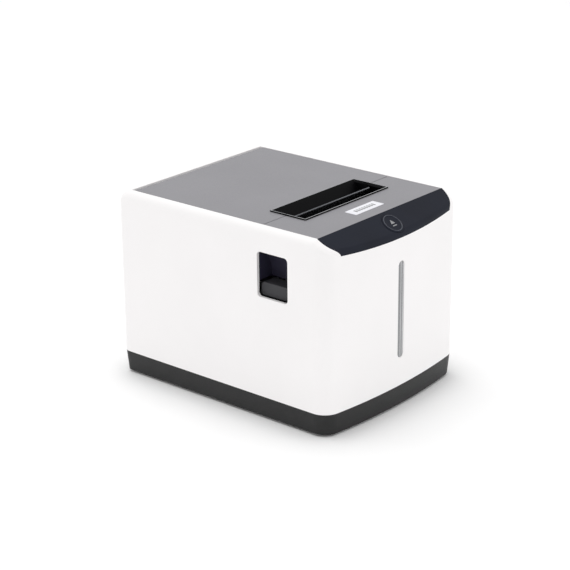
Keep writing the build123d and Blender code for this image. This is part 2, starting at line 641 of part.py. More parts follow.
LEVER_X = (-69.3, -58.0)
LEVER_TOP = 97.5
LEVER_BOTTOM = 87.9
HUB_X = (-66.0, -58.0)
with BuildPart() as release_lever:
    block(LEVER_X, (WINDOW_Y[0] + 0.5, WINDOW_Y[1] - 0.4), (LEVER_BOTTOM, LEVER_TOP))
    rim = release_lever.edges().filter_by(Axis.X).group_by(Axis.Z)[-1]
    fillet(rim.sort_by(Axis.Y)[-1], 3.0)
    fillet(rim.sort_by(Axis.Y)[0], 1.0)
    profile_x([(-40, 94.5), (-27, 96.0), (-27, 87.0), (-40, 88.5)], HUB_X)
    rod_x(LATCH_AT, 4.6, HUB_X)
    rod_x(LATCH_AT, SHAFT_R + SCREW_FIT, HUB_X, Mode.SUBTRACT)

with BuildPart() as latch_shaft:
    rod_x(LATCH_AT, SHAFT_R, (HUB_X[0] - 1.2, HOOK_OUT + 0.3))

hook_r = BUSHING_R + LATCH_CLEAR
hook_ring = disc(PLATEN_AT, hook_r + 3) - disc(PLATEN_AT, hook_r)
hook_keep = rect((PLATEN_AT[0] - 12, PLATEN_AT[0] + 0.6), (PLATEN_AT[1] - 1.0, PLATEN_AT[1] + 12))
hook_arm = polygon([
    (PLATEN_AT[0] - hook_r - 3, PLATEN_AT[1]),
    (PLATEN_AT[0] - hook_r, PLATEN_AT[1]),
    (LATCH_AT[0] + 2.4, LATCH_AT[1] + 3),
    (LATCH_AT[0] - 4.2, LATCH_AT[1] + 1),
])
hook_face = (hook_ring & hook_keep) + hook_arm + disc(LATCH_AT, 4.5)
with BuildPart() as latch_hooks:
    for side in (-1, 1):
        sketch_x(hook_face, sorted((side * HOOK_IN, side * HOOK_OUT)))
        rod_x(LATCH_AT, SHAFT_R + SCREW_FIT, sorted((side * 49, side * 52)), Mode.SUBTRACT)

SPRING_WIRE = 0.3
with BuildPart() as latch_spring:
    coil = Helix(pitch=0.75, height=4.5, radius=SHAFT_R + 0.8, center=(-57.2, *LATCH_AT), direction=(1, 0, 0))
    with BuildSketch(Plane(origin=coil @ 0, z_dir=coil % 0)):
        Circle(SPRING_WIRE)
    sweep(path=coil, is_frenet=True)

# ---- Steel mechanism frame ----
side_outline = polygon([
    (FRAME_FRONT, FRAME_FLOOR),
    (FRAME_REAR, FRAME_FLOOR),
    (FRAME_REAR, 108),
    (-15, FRAME_TOP),
    (-48, FRAME_TOP),
    (FRAME_FRONT, 112),
])
notch_low = BUSHING_R + RUNNING_FIT + 0.03
across = (to_head[0], to_head[1])
notch_points = []
for out, up in ((notch_low, 0), (notch_low + 0.4, 16), (-notch_low - 2.6, 16), (-notch_low, 0)):
    notch_points.append((
        PLATEN_AT[0] + to_head[0] * out + lift[0] * up,
        PLATEN_AT[1] + to_head[1] * out + lift[1] * up,
    ))
side_outline = side_outline - disc(PLATEN_AT, notch_low) - polygon(notch_points)
HEAD_PIVOT = head_point(3.3, -19.0)
PIVOT_R = 1.5
RIBBON_HALF = 15.0
with BuildPart() as chassis:
    block((-FRAME_OUT, FRAME_OUT), (FRAME_FRONT, FRAME_REAR), (FRAME_FLOOR, FRAME_FLOOR + FRAME_THICK))
    for side in (-1, 1):
        plate_x = sorted((side * FRAME_HALF, side * FRAME_OUT))
        hole_x = (plate_x[0] - 1, plate_x[1] + 1)
        sketch_x(side_outline, plate_x)
        rod_x(LATCH_AT, SHAFT_R + RUNNING_FIT, hole_x, Mode.SUBTRACT)
        rod_x(HEAD_PIVOT, PIVOT_R + RUNNING_FIT, hole_x, Mode.SUBTRACT)
    right_x = (FRAME_HALF - 1, FRAME_OUT + 1)
    rod_x(MOTOR_AT, 4.5, right_x, Mode.SUBTRACT)
    for at in (REDUCTION_AT, IDLER_AT):
        rod_x(at, STUD_R + SCREW_FIT, right_x, Mode.SUBTRACT)
    for x, y in FRAME_POSTS:
        rod_z((x, y), SCREW_R + 0.2, (FRAME_FLOOR - 1, FRAME_FLOOR + 3), Mode.SUBTRACT)
    block((-RIBBON_HALF - 2, RIBBON_HALF + 2), (-47, -39), (FRAME_FLOOR - 1, FRAME_FLOOR + 3), Mode.SUBTRACT)

# ---- Paper chute under the platen, with its sensor ----
with BuildPart() as paper_chute:
    chute = [(-9.6, 101.5), (-16, 105.4), (-24, 108.4), (-28.6, 109.2)]
    chute += [(-28.6, 107.4), (-24, 106.6), (-16, 103.4)]
    profile_x(chute + [(-9.6, 99.4)], (-FRAME_HALF, FRAME_HALF))
    for side in (-1, 1):
        tab_x = sorted((side * (FRAME_HALF - 2), side * FRAME_HALF))
        profile_x([(-24, 107), (-13, 102), (-13, 96), (-20, 96)], tab_x)
    block((8, 16), (-19.5, -13.5), (98, 110), Mode.SUBTRACT)

with BuildPart() as paper_sensor:
    block((8.2, 15.8), (-19.3, -13.7), (98.5, 104.0))
    block((8.2, 15.8), (-22.0, -19.3), (98.5, 100.0))

# ---- Print head ----
head_half = 42.0
with BuildPart() as print_head:
    profile_x(head_outline((SOFT_GAP, SOFT_GAP + 1.0), (-8.5, 5.0)), (-head_half, head_half))

SINK_OUT = (SOFT_GAP + 1.0, SOFT_GAP + 5.0)
with BuildPart() as heat_sink:
    profile_x(head_outline(SINK_OUT, (-17.0, 6.0)), (-head_half, head_half))
    for side in (-1, 1):
        ear = polygon(head_outline(SINK_OUT, (-17.0, -12.0))) + disc(HEAD_PIVOT, 3.2)
        sketch_x(ear, sorted((side * 36, side * head_half)))
    rod_x(HEAD_PIVOT, PIVOT_R + SCREW_FIT, (-43, 43), Mode.SUBTRACT)
    for row in range(4):
        groove = head_outline((SINK_OUT[1] - 1.2, SINK_OUT[1] + 1), (-11 + row * 4.2, -9 + row * 4.2))
        profile_x(groove, (-head_half + 4, -30))
        profile_x(groove, (30, head_half - 4))

with BuildPart() as head_pivot:
    rod_x(HEAD_PIVOT, PIVOT_R, (-FRAME_OUT - 0.1, FRAME_OUT + 0.1))

SPRING_X = (-22.0, 22.0)
SPRING_OUT = (SINK_OUT[1], SINK_OUT[1] + 7.4)
with BuildPart() as head_springs:
    for x in SPRING_X:
        foot = head_point(SPRING_OUT[0] + 0.45, 0)
        coil = Helix(
            pitch=1.3,
            height=SPRING_OUT[1] - SPRING_OUT[0] - 0.9,
            radius=2.6,
            center=(x, *foot),
            direction=(0, *to_head),
        )
        with BuildSketch(Plane(origin=coil @ 0, z_dir=coil % 0)):
            Circle(0.4)
        sweep(path=coil, is_frenet=True)

with BuildPart() as spring_plate:
    profile_x(head_outline((SPRING_OUT[1], SPRING_OUT[1] + 1.2), (-8, 8)), (-FRAME_HALF, FRAME_HALF))
    for side in (-1, 1):
        flange = head_outline((SPRING_OUT[1] + 1.2, SPRING_OUT[1] + 7), (-8, 8))
        profile_x(flange, sorted((side * (FRAME_HALF - 1.2), side * FRAME_HALF)))

# ---- Platen roller ----
with BuildPart() as platen_shaft:
    rod_x(PLATEN_AT, SHAFT_R, (-HOOK_OUT - 0.6, INNER_GEARS[1] + 0.3))

with BuildPart() as platen_rubber:
    rod_x(PLATEN_AT, PLATEN_R, (-PLATEN_HALF, PLATEN_HALF))
    rod_x(PLATEN_AT, SHAFT_R + SCREW_FIT, (-PLATEN_HALF, PLATEN_HALF), Mode.SUBTRACT)

with BuildPart() as platen_bushings:
    for side in (-1, 1):
        bushing_x = sorted((side * 43.6, side * HOOK_OUT))
        rod_x(PLATEN_AT, BUSHING_R, bushing_x)
        rod_x(PLATEN_AT, SHAFT_R + RUNNING_FIT, bushing_x, Mode.SUBTRACT)

# ---- Gear train on the right of the frame ----
with BuildPart() as platen_gear:
    sketch_x(gear_face(PLATEN_TEETH, platen_phase, PLATEN_AT), INNER_GEARS)
    rod_x(PLATEN_AT, SHAFT_R + SCREW_FIT, INNER_GEARS, Mode.SUBTRACT)

with BuildPart() as reduction_gear:
    sketch_x(gear_face(SMALL_TEETH, small_phase, REDUCTION_AT), INNER_GEARS)
    rod_x(REDUCTION_AT, 3.4, (INNER_GEARS[1], OUTER_GEARS[0]))
    sketch_x(gear_face(LARGE_TEETH, large_phase, REDUCTION_AT), OUTER_GEARS)
    rod_x(REDUCTION_AT, STUD_R + RUNNING_FIT, (INNER_GEARS[0] - 1, OUTER_GEARS[1] + 1), Mode.SUBTRACT)
    for spoke in range(5):
        hole_at = step_from(REDUCTION_AT, spoke * 2 * pi / 5, 7.6)
        rod_x(hole_at, 1.9, (OUTER_GEARS[0] - 0.5, OUTER_GEARS[1] + 1), Mode.SUBTRACT)

with BuildPart() as idler_gear:
    sketch_x(gear_face(IDLER_TEETH, idler_phase, IDLER_AT), OUTER_GEARS)
    rod_x(IDLER_AT, STUD_R + RUNNING_FIT, OUTER_GEARS, Mode.SUBTRACT)

with BuildPart() as gear_studs:
    for at in (REDUCTION_AT, IDLER_AT):
        rod_x(at, STUD_R, (FRAME_HALF, OUTER_GEARS[1] + 1.3))
        rod_x(at, STUD_R + 1.2, (OUTER_GEARS[1] + 0.3, OUTER_GEARS[1] + 1.3))
    rod_x(IDLER_AT, STUD_R + 1.2, (FRAME_OUT, OUTER_GEARS[0] - 0.3))
    rod_x(REDUCTION_AT, STUD_R + 1.2, (FRAME_OUT, INNER_GEARS[0] - 0.3))

MOTOR_SHAFT_R = 1.0
MOTOR_FACE = FRAME_HALF - 1.0
with BuildPart() as motor:
    rod_x(MOTOR_AT, MOTOR_R, (MOTOR_FACE - MOTOR_LENGTH, MOTOR_FACE))
    fillet(motor.edges().filter_by(GeomType.CIRCLE).sort_by(Axis.X)[0], 1.0)
    ears = rect((MOTOR_AT[0] - 20, MOTOR_AT[0] + 18), (MOTOR_AT[1] - 3.5, MOTOR_AT[1] + 3.5))
    sketch_x(ears, (MOTOR_FACE, FRAME_HALF))
    rod_x(MOTOR_AT, 4.2, (MOTOR_FACE, FRAME_OUT + 0.6))
    rod_x(MOTOR_AT, MOTOR_SHAFT_R + RUNNING_FIT, (MOTOR_FACE - 6, FRAME_OUT + 1), Mode.SUBTRACT)
    for reach in (-17.5, 15.5):
        rod_x((MOTOR_AT[0] + reach, MOTOR_AT[1]), 1.2, (MOTOR_FACE - 1, FRAME_HALF + 1), Mode.SUBTRACT)

with BuildPart() as motor_pinion:
    sketch_x(gear_face(PINION_TEETH, pinion_phase, MOTOR_AT), OUTER_GEARS)
    rod_x(MOTOR_AT, 1.9, (FRAME_OUT + 2, OUTER_GEARS[0]))
    rod_x(MOTOR_AT, MOTOR_SHAFT_R, (MOTOR_FACE - 5, OUTER_GEARS[1] + 0.4))

COVER_POSTS = [(-13.5, 76.0), (-48.0, 84.0)]
with BuildPart() as gear_cover:
    cover_x = (OUTER_GEARS[1] + 2, OUTER_GEARS[1] + 3.4)
    cover_face = disc(REDUCTION_AT, 14) + rect((-52, -9.5), (62, REDUCTION_AT[1]))
    sketch_x(cover_face, cover_x)
    for at in COVER_POSTS:
        rod_x(at, 2.2, (FRAME_OUT, cover_x[0]))

# ---- Paper roll bay with two coupled side guides ----
bay_top_front = 99.0
bay_top_rear = 112.0
outer_r = BAY_R + BAY_WALL
bay_outer = disc(ROLL_AT, outer_r)
bay_outer += rect((ROLL_AT[0] - outer_r, ROLL_AT[0] + outer_r), (ROLL_AT[1], bay_top_rear))
bay_inner = disc(ROLL_AT, BAY_R)
bay_inner += rect((ROLL_AT[0] - BAY_R, ROLL_AT[0] + BAY_R), (ROLL_AT[1], bay_top_rear + 1))
bay_front_cut = rect((ROLL_AT[0] - outer_r - 1, ROLL_AT[0] - 25), (bay_top_front, bay_top_rear + 2))
GUIDE_PITCH_R = MODULE * GUIDE_TEETH / 2
GUIDE_TRAVEL = 11.0
RACK_Z = (12.5, 16.3)
RACK_BACK = 4.0
RACK_LENGTH_IN = 5.0
RACK_LENGTH_OUT = 41.0
STEM_X = (28.5, 40.5)
SLIDE_GAP = 0.25
stem_out_y = GUIDE_PITCH_R + 1.4
stem_back_y = GUIDE_PITCH_R + RACK_BACK
with BuildPart() as roll_bay:
    sketch_x(bay_outer - bay_inner - bay_front_cut, (-BAY_HALF - BAY_WALL, BAY_HALF + BAY_WALL))
    for side in (-1, 1):
        wall_x = sorted((side * BAY_HALF, side * (BAY_HALF + BAY_WALL)))
        sketch_x(bay_outer - bay_front_cut, wall_x)
    for x, y in BAY_POSTS:
        side = 1 if x > 0 else -1
        ear_x = sorted((side * BAY_HALF, side * 56))
        block(ear_x, (y - 5, y + 5), (BAY_EAR_Z, BAY_EAR_Z + BAY_EAR_THICK))
        rod_z((x, y), SCREW_R + 0.2, (BAY_EAR_Z - 1, BAY_EAR_Z + 6), Mode.SUBTRACT)
    for side in (-1, 1):
        slot_x = sorted((side * (STEM_X[0] - GUIDE_TRAVEL - 0.5), side * (STEM_X[1] + 0.5)))
        slot_y = sorted((
            ROLL_AT[0] + side * (stem_out_y - SLIDE_GAP),
            ROLL_AT[0] + side * (stem_back_y + SLIDE_GAP),
        ))
        block(slot_x, slot_y, (15, 30), Mode.SUBTRACT)
    rod_z((0, ROLL_AT[0]), 3.0, (RACK_Z[1] + 0.3, ROLL_AT[1] - BAY_R - 1))
    rod_z((0, ROLL_AT[0]), STUD_R + SCREW_FIT, (RACK_Z[1], ROLL_AT[1] - BAY_R - 0.6), Mode.SUBTRACT)


def rack_face(reversed_side):
    """A straight rack outline in plan, toothed towards the guide pinion."""
    pitch = pi * MODULE
    outline = []
    first = -int(RACK_LENGTH_OUT / pitch)
    last = int(RACK_LENGTH_IN / pitch)
    half_tip = pitch / 4 - BACKLASH / 2 - MODULE * tan(PRESSURE)
    half_root = pitch / 4 - BACKLASH / 2 + 1.25 * MODULE * tan(PRESSURE)
    for tooth in range(first, last + 1):
        middle = tooth * pitch + pitch / 2
        outline.append((middle - half_root, 1.25 * MODULE))
        outline.append((middle - half_tip, -MODULE))
        outline.append((middle + half_tip, -MODULE))
        outline.append((middle + half_root, 1.25 * MODULE))
    outline = [(x, GUIDE_PITCH_R + y) for x, y in outline]
    outline.append((outline[-1][0] + 0.6, GUIDE_PITCH_R + 1.25 * MODULE))
    outline.append((outline[-1][0], GUIDE_PITCH_R + RACK_BACK))
    outline.append((-RACK_LENGTH_OUT - 0.8, GUIDE_PITCH_R + RACK_BACK))
    outline.append((-RACK_LENGTH_OUT - 0.8, GUIDE_PITCH_R + 1.25 * MODULE))
    turn = -1 if reversed_side else 1
    placed = [(turn * x, ROLL_AT[0] - turn * y) for x, y in outline]
    return polygon(placed)


guide_face = disc(ROLL_AT, BAY_R - 0.8) & rect((10, 60), (ROLL_AT[1] - BAY_R, 96))
guide_face = guide_face - disc(ROLL_AT, 9)
guides = []
for reversed_side in (False, True):
    side = 1 if reversed_side else -1
    with BuildPart() as guide:
        sketch_x(guide_face, sorted((side * (PAPER_WIDTH / 2 + 0.4), side * (PAPER_WIDTH / 2 + 2.2))))
        stem_y = sorted((ROLL_AT[0] + side * stem_out_y, ROLL_AT[0] + side * stem_back_y))
        block(sorted((side * STEM_X[0], side * STEM_X[1])), stem_y, (RACK_Z[1], 20.6))
        block(sorted((side * STEM_X[0], side * (PAPER_WIDTH / 2 + 1))), stem_y, (20.6, 23.0))
        extrude(Pos(0, 0, RACK_Z[0]) * rack_face(reversed_side), amount=RACK_Z[1] - RACK_Z[0])
    guides.append(guide)
guide_left, guide_right = guides

with BuildPart() as guide_pinion:
    pinion_face = gear_face(GUIDE_TEETH, pi / 2, (0, ROLL_AT[0]))
    extrude(Pos(0, 0, RACK_Z[0]) * pinion_face, amount=RACK_Z[1] - RACK_Z[0])
    rod_z((0, ROLL_AT[0]), STUD_R + RUNNING_FIT, (RACK_Z[0] - 1, RACK_Z[1] + 1), Mode.SUBTRACT)

with BuildPart() as guide_screw:
    rod_z((0, ROLL_AT[0]), STUD_R, (RACK_Z[0] - 0.3, ROLL_AT[1] - BAY_R - 0.8))
    rod_z((0, ROLL_AT[0]), SCREW_HEAD_R, (RACK_Z[0] - 1.6, RACK_Z[0] - 0.3))
    block((-1.8, 1.8), (ROLL_AT[0] - 0.4, ROLL_AT[0] + 0.4), (RACK_Z[0] - 2, RACK_Z[0] - 1), Mode.SUBTRACT)

with BuildPart() as post_screws:
    for places, top_z in ((FRAME_POSTS, FRAME_FLOOR + FRAME_THICK), (BAY_POSTS, BAY_EAR_Z + BAY_EAR_THICK)):
        for x, y in places:
            rod_z((x, y), SCREW_R, (top_z - 9, top_z))
            rod_z((x, y), SCREW_HEAD_R, (top_z, top_z + SCREW_HEAD))
            block((x - 1.8, x + 1.8), (y - 0.4, y + 0.4), (top_z + 1.2, top_z + 3), Mode.SUBTRACT)

# ---- Electronics ----
BOARD_X = (-62.0, 62.0)
BOARD_Y = (-8.0, 74.0)
BOARD_TOP = BOARD_Z + BOARD_THICK
with BuildPart() as main_board:
    block(BOARD_X, BOARD_Y, (BOARD_Z, BOARD_TOP))
    for x, y in BOARD_SCREWS:
        rod_z((x, y), 1.2, (BOARD_Z - 1, BOARD_TOP + 1), Mode.SUBTRACT)
    for x, y in BAY_POSTS:
        rod_z((x, y), POST_R + 0.4, (BOARD_Z - 1, BOARD_TOP + 1), Mode.SUBTRACT)

with BuildPart() as board_screws:
    for x, y in BOARD_SCREWS:
        rod_z((x, y), 1.0, (FLOOR_TOP, BOARD_TOP))
        rod_z((x, y), 2.0, (BOARD_TOP, BOARD_TOP + 1.4))
        block((x - 1.3, x + 1.3), (y - 0.3, y + 0.3), (BOARD_TOP + 0.8, BOARD_TOP + 2), Mode.SUBTRACT)

CHIPS = [(-20, 8, 14, 14, 1.4), (12, 14, 10, 8, 1.2), (-36, 30, 8, 12, 1.2)]
CHIPS += [(30, 52, 7, 7, 1.2), (-14, 62, 10, 6, 1.2)]
with BuildPart() as board_chips:
    for x, y, long_x, long_y, tall in CHIPS:
        chip_x = (x - long_x / 2, x + long_x / 2)
        chip_y = (y - long_y / 2, y + long_y / 2)
        block(chip_x, chip_y, (BOARD_TOP, BOARD_TOP + tall))

CAPACITORS = [(57.0, 24.0), (57.0, 38.0), (-57.0, 34.0)]
with BuildPart() as board_capacitors:
    for x, y in CAPACITORS:
        rod_z((x, y), 4.0, (BOARD_TOP, BOARD_TOP + 12))

with BuildPart() as board_sockets:
    block((-RIBBON_HALF - 2, RIBBON_HALF + 2), (-7, -2), (BOARD_TOP, BOARD_TOP + 3.2))
    block((-RIBBON_HALF, RIBBON_HALF), (-8, -4), (BOARD_TOP + 1.0, BOARD_TOP + 2.0), Mode.SUBTRACT)
    block((34, 48), (-7, -2), (BOARD_TOP, BOARD_TOP + 6))

REAR_BOARD_Y = (81.0, 82.6)
with BuildPart() as rear_board:
    block((-36, 36), REAR_BOARD_Y, (18, 44))
    for x in (-33, 33):
        block((x - 3, x + 3), (REAR_BOARD_Y[1], REAR - WALL), (39.5, 43.5))

with BuildPart() as power_socket:
    block((POWER_X[0] + 0.15, POWER_X[1] - 0.15), (REAR_BOARD_Y[1], REAR - 0.3), (PORT_Z[0] + 0.15, PORT_Z[1] - 0.15))
    middle = ((POWER_X[0] + POWER_X[1]) / 2, sum(PORT_Z) / 2 + 1)
    rod_y(middle, 3.2, (REAR - 11, REAR), Mode.SUBTRACT)
    rod_y(middle, 1.0, (REAR - 11.5, REAR - 2))

with BuildPart() as usb_socket:
    block((USB_X[0] + 0.15, USB_X[1] - 0.15), (REAR_BOARD_Y[1], REAR - 0.3), (PORT_Z[0] + 0.15, PORT_Z[1] - 0.15))
    block((USB_X[0] + 1.6, USB_X[1] - 1.6), (REAR - 9.5, REAR), (PORT_Z[0] + 2.4, PORT_Z[1] - 2.6), Mode.SUBTRACT)
    block((USB_X[0] + 3.3, USB_X[1] - 3.3), (REAR - 10, REAR - 1.5), (PORT_Z[0] + 4.4, PORT_Z[0] + 6.4))

with BuildPart() as drawer_socket:
    drawer_x = (DRAWER_X[0] + 0.15, DRAWER_X[1] - 0.15)
    block(drawer_x, (REAR_BOARD_Y[1], REAR - 0.3), (PORT_Z[0] + 0.15, PORT_Z[1] - 0.15))
    block((DRAWER_X[0] + 2, DRAWER_X[1] - 2), (REAR - 11, REAR), (PORT_Z[0] + 3.5, PORT_Z[1] - 2.5), Mode.SUBTRACT)
    block((DRAWER_X[0] + 5, DRAWER_X[1] - 5), (REAR - 11, REAR), (PORT_Z[0] + 1.6, PORT_Z[1] - 4), Mode.SUBTRACT)

# ---- Power rocker switch ----
ROCKER_AT = (REAR - 1.0, sum(SWITCH_Z) / 2)
ROCKER_PIN_R = 0.9
ROCKER_X = (SWITCH_X[0] + 2.0, SWITCH_X[1] - 2.0)
with BuildPart() as switch_body:
    block((SWITCH_X[0] + 0.1, SWITCH_X[1] - 0.1), (REAR - 14, REAR - 0.2), (SWITCH_Z[0] + 0.1, SWITCH_Z[1] - 0.1))
    block((ROCKER_X[0] - 0.4, ROCKER_X[1] + 0.4), (REAR - 7, REAR + 1), (SWITCH_Z[0] + 0.9, SWITCH_Z[1] - 0.9), Mode.SUBTRACT)
    rod_x((ROCKER_AT[0] - 1.4, ROCKER_AT[1]), ROCKER_PIN_R + RUNNING_FIT, (SWITCH_X[0] + 0.8, SWITCH_X[1] - 0.8), Mode.SUBTRACT)
    for x in (SWITCH_X[0] + 4, SWITCH_X[1] - 4):
        block((x - 0.4, x + 0.4), (REAR - 19, REAR - 14), (SWITCH_Z[0] + 3, SWITCH_Z[1] - 3))

with BuildPart() as power_rocker:
    rocker_at = (ROCKER_AT[0] - 1.4, ROCKER_AT[1])
    face = [(0.9, 3.6), (2.3, 3.4), (1.7, 0.0), (0.9, -3.6), (-2.2, -2.4), (-2.2, 2.4)]
    rocker_points = [(rocker_at[0] + out, rocker_at[1] + up) for out, up in face]
    profile_x(rocker_points, ROCKER_X)
    rod_x(rocker_at, ROCKER_PIN_R, (SWITCH_X[0] + 0.9, SWITCH_X[1] - 0.9))

# ---- Key board under the control panel ----
with BuildPart() as key_board:
    with Locations(key_place * Pos(0, 0, -9.6)):
        Box(44, 16, 1.6)
    for x in (-18, 18):
        with Locations(key_place * Pos(x, 0, -(PANEL_THICK + 9) / 2)):
            Cylinder(1.8, 9 - PANEL_THICK)
    with Locations(key_place * Pos(0, 0, -7.9)):
        Box(6, 6, 1.8)
    with Locations(key_place * Pos(0, 0, -6.7)):
        Cylinder(1.6, 0.6)

with BuildPart() as cover_switch:
    block((-55, -FRAME_OUT), (-20.5, -13), (110, 116))
    block((-53.6, -52.2), (-18, -15), (116, 117.2))

# ---- Flexible print head cable ----
ribbon_top = head_point(SINK_OUT[1] + 0.25, -14.0)
ribbon_path = [
    (ribbon_top[0], ribbon_top[1]),
    (ribbon_top[0] - 1.5, ribbon_top[1] - 8),
    (-43, 84),
    (-43, 17),
    (-37, 11.2),
    (-6, BOARD_TOP + 1.5),
]
with BuildPart() as head_cable:
    with BuildSketch(Plane.YZ) as ribbon:
        with BuildLine():
            spine = FilletPolyline(*ribbon_path, radius=4)
        trace(line_width=0.3)
    extrude(amount=RIBBON_HALF - 0.6, both=True)

# ---- Feet and casing screws ----
with BuildPart() as rubber_feet:
    for x, y in FEET:
        rod_z((x, y), 6.0, (0, BASE_BOTTOM + 1))
    fillet(rubber_feet.edges().filter_by(GeomType.CIRCLE).group_by(Axis.Z)[0], 0.5)

with BuildPart() as case_screws:
    for x, y in CASE_SCREWS:
        head_z = BASE_BOTTOM + 4
        rod_z((x, y), SCREW_R, (head_z - SCREW_HEAD, BASE_TOP + 10))
        rod_z((x, y), SCREW_HEAD_R, (head_z - SCREW_HEAD, head_z))
        block((x - 1.8, x + 1.8), (y - 0.4, y + 0.4), (head_z - 3, head_z - 1.2), Mode.SUBTRACT)

PIECES = {
    "base_tray": base_tray,
    "shell": shell,
    "front_cover": front_cover,
    "control_panel": control_panel,
    "feed_key": feed_key,
    "lid": lid,
    "hinge_pins": hinge_pins,
    "lid_liner": lid_liner,
    "platen_holder": platen_holder,
    "lid_bezel": lid_bezel,
    "front_bezel": front_bezel,
    "tear_bar": tear_bar,
    "front_label": front_label,
    "light_bar": light_bar,
    "light_board": light_board,
    "lever_pocket": lever_pocket,
    "release_lever": release_lever,
    "latch_shaft": latch_shaft,
    "latch_hooks": latch_hooks,
    "latch_spring": latch_spring,
    "chassis": chassis,
    "paper_chute": paper_chute,
    "paper_sensor": paper_sensor,
    "print_head": print_head,
    "heat_sink": heat_sink,
    "head_pivot": head_pivot,
    "head_springs": head_springs,
    "spring_plate": spring_plate,
    "platen_shaft": platen_shaft,
    "platen_rubber": platen_rubber,
    "platen_bushings": platen_bushings,
    "platen_gear": platen_gear,
    "reduction_gear": reduction_gear,
    "idler_gear": idler_gear,
    "gear_studs": gear_studs,
    "motor": motor,
    "motor_pinion": motor_pinion,
    "gear_cover": gear_cover,
    "roll_bay": roll_bay,
    "guide_left": guide_left,
    "guide_right": guide_right,
    "guide_pinion": guide_pinion,
    "guide_screw": guide_screw,
    "post_screws": post_screws,
    "main_board": main_board,
    "board_screws": board_screws,
    "board_chips": board_chips,
    "board_capacitors": board_capacitors,
    "board_sockets": board_sockets,
    "rear_board": rear_board,
    "power_socket": power_socket,
    "usb_socket": usb_socket,
    "drawer_socket": drawer_socket,
    "switch_body": switch_body,
    "power_rocker": power_rocker,
    "key_board": key_board,
    "cover_switch": cover_switch,
    "head_cable": head_cable,
    "rubber_feet": rubber_feet,
    "case_screws": case_screws,
}
for name, piece in PIECES.items():
    piece.part.label = name
    export_step(piece.part, "parts/" + name + ".step")
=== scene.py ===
import json
from math import cos, radians, sin

import bpy
from mathutils import Matrix, Vector


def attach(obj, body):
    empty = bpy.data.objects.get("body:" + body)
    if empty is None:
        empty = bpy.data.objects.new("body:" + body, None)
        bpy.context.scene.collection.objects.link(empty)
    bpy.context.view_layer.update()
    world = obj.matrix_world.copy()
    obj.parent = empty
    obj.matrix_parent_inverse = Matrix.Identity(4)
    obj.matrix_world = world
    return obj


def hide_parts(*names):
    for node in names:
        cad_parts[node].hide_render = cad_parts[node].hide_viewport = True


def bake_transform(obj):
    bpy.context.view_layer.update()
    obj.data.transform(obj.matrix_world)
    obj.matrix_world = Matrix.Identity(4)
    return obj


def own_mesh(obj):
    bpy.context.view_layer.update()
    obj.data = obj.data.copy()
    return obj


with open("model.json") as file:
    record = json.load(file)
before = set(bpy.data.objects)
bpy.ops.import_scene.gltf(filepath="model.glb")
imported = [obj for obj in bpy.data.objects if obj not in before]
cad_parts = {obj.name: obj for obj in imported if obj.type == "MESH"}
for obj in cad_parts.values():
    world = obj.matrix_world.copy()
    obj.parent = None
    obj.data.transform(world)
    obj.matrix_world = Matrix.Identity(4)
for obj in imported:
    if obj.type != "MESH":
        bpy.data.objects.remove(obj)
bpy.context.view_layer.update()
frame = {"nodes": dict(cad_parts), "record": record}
bpy.ops.object.select_all(action="DESELECT")

MM = 0.001

# Two things closer than this are taken as being at the same place.
NEAR = 0.05 * MM

# How much of a face's normal must lie along a direction for the face to look that way.
PARTLY, ROUGHLY, SQUARELY = 0.3, 0.9, 0.99

# ---- Material tools ----

# A Mix node's colour sockets share their names with its number sockets, so they go by place.
MIX_SHARE, MIX_FIRST, MIX_SECOND, MIX_COLOUR = 0, 6, 7, 2

# Noise spends most of its time between these values, so patterns are stretched over them.
TONE_BAND = (0.35, 0.65)
GLOSS_BAND = (0.3, 0.7)
WHOLE_BAND = (0.0, 1.0)


def linear(hex_colour):
    """An sRGB hex colour as the linear light that a shader takes."""
    channels = [int(hex_colour[i:i + 2], 16) / 255 for i in (1, 3, 5)]
    light = [c / 12.92 if c <= 0.04045 else ((c + 0.055) / 1.055) ** 2.4 for c in channels]
    return (*light, 1.0)


def add(tree, kind, settings=None, inputs=None):
    """Adds a node with its own settings. An input is a value, or a (node, output) pair to link."""
    made = tree.nodes.new(kind)
    for name, value in (settings or {}).items():
        setattr(made, name, value)
    for name, value in (inputs or {}).items():
        if isinstance(value, tuple) and isinstance(value[0], bpy.types.Node):
            tree.links.new(value[0].outputs[value[1]], made.inputs[name])
        else:
            made.inputs[name].default_value = value
    return made


def new_material(name, **shader_values):
    """A named material whose Principled shader has the values that are the same all over."""
    material = bpy.data.materials.new(name)
    material.use_nodes = True
    shader = material.node_tree.nodes["Principled BSDF"]
    for socket, value in shader_values.items():
        shader.inputs[socket.replace("_", " ")].default_value = value
    return material, material.node_tree, shader


def toned(tree, pattern, tones, band=TONE_BAND):
    """The colour that runs from the first tone to the second as a pattern crosses a band."""
    share = add(tree, "ShaderNodeMapRange", inputs={
        "Value": pattern, "From Min": band[0], "From Max": band[1]})
    mixed = add(tree, "ShaderNodeMix", {"data_type": "RGBA"}, {
        MIX_SHARE: (share, "Result"), MIX_FIRST: linear(tones[0]), MIX_SECOND: linear(tones[1])})
    return mixed, MIX_COLOUR


def dress(tree, shader, colour, pattern, band, roughness, height, relief_mm):
    """Gives a shader its colour, a roughness that follows a pattern, and its fine relief."""
    gloss = add(tree, "ShaderNodeMapRange", inputs={
        "Value": pattern, "From Min": band[0], "From Max": band[1],
        "To Min": roughness[0], "To Max": roughness[1]})
    relief = add(tree, "ShaderNodeBump", inputs={
        "Height": height, "Distance": relief_mm * MM, "Strength": 1.0})
    tree.links.new(colour[0].outputs[colour[1]], shader.inputs["Base Color"])
    tree.links.new(gloss.outputs["Result"], shader.inputs["Roughness"])
    tree.links.new(relief.outputs["Normal"], shader.inputs["Normal"])


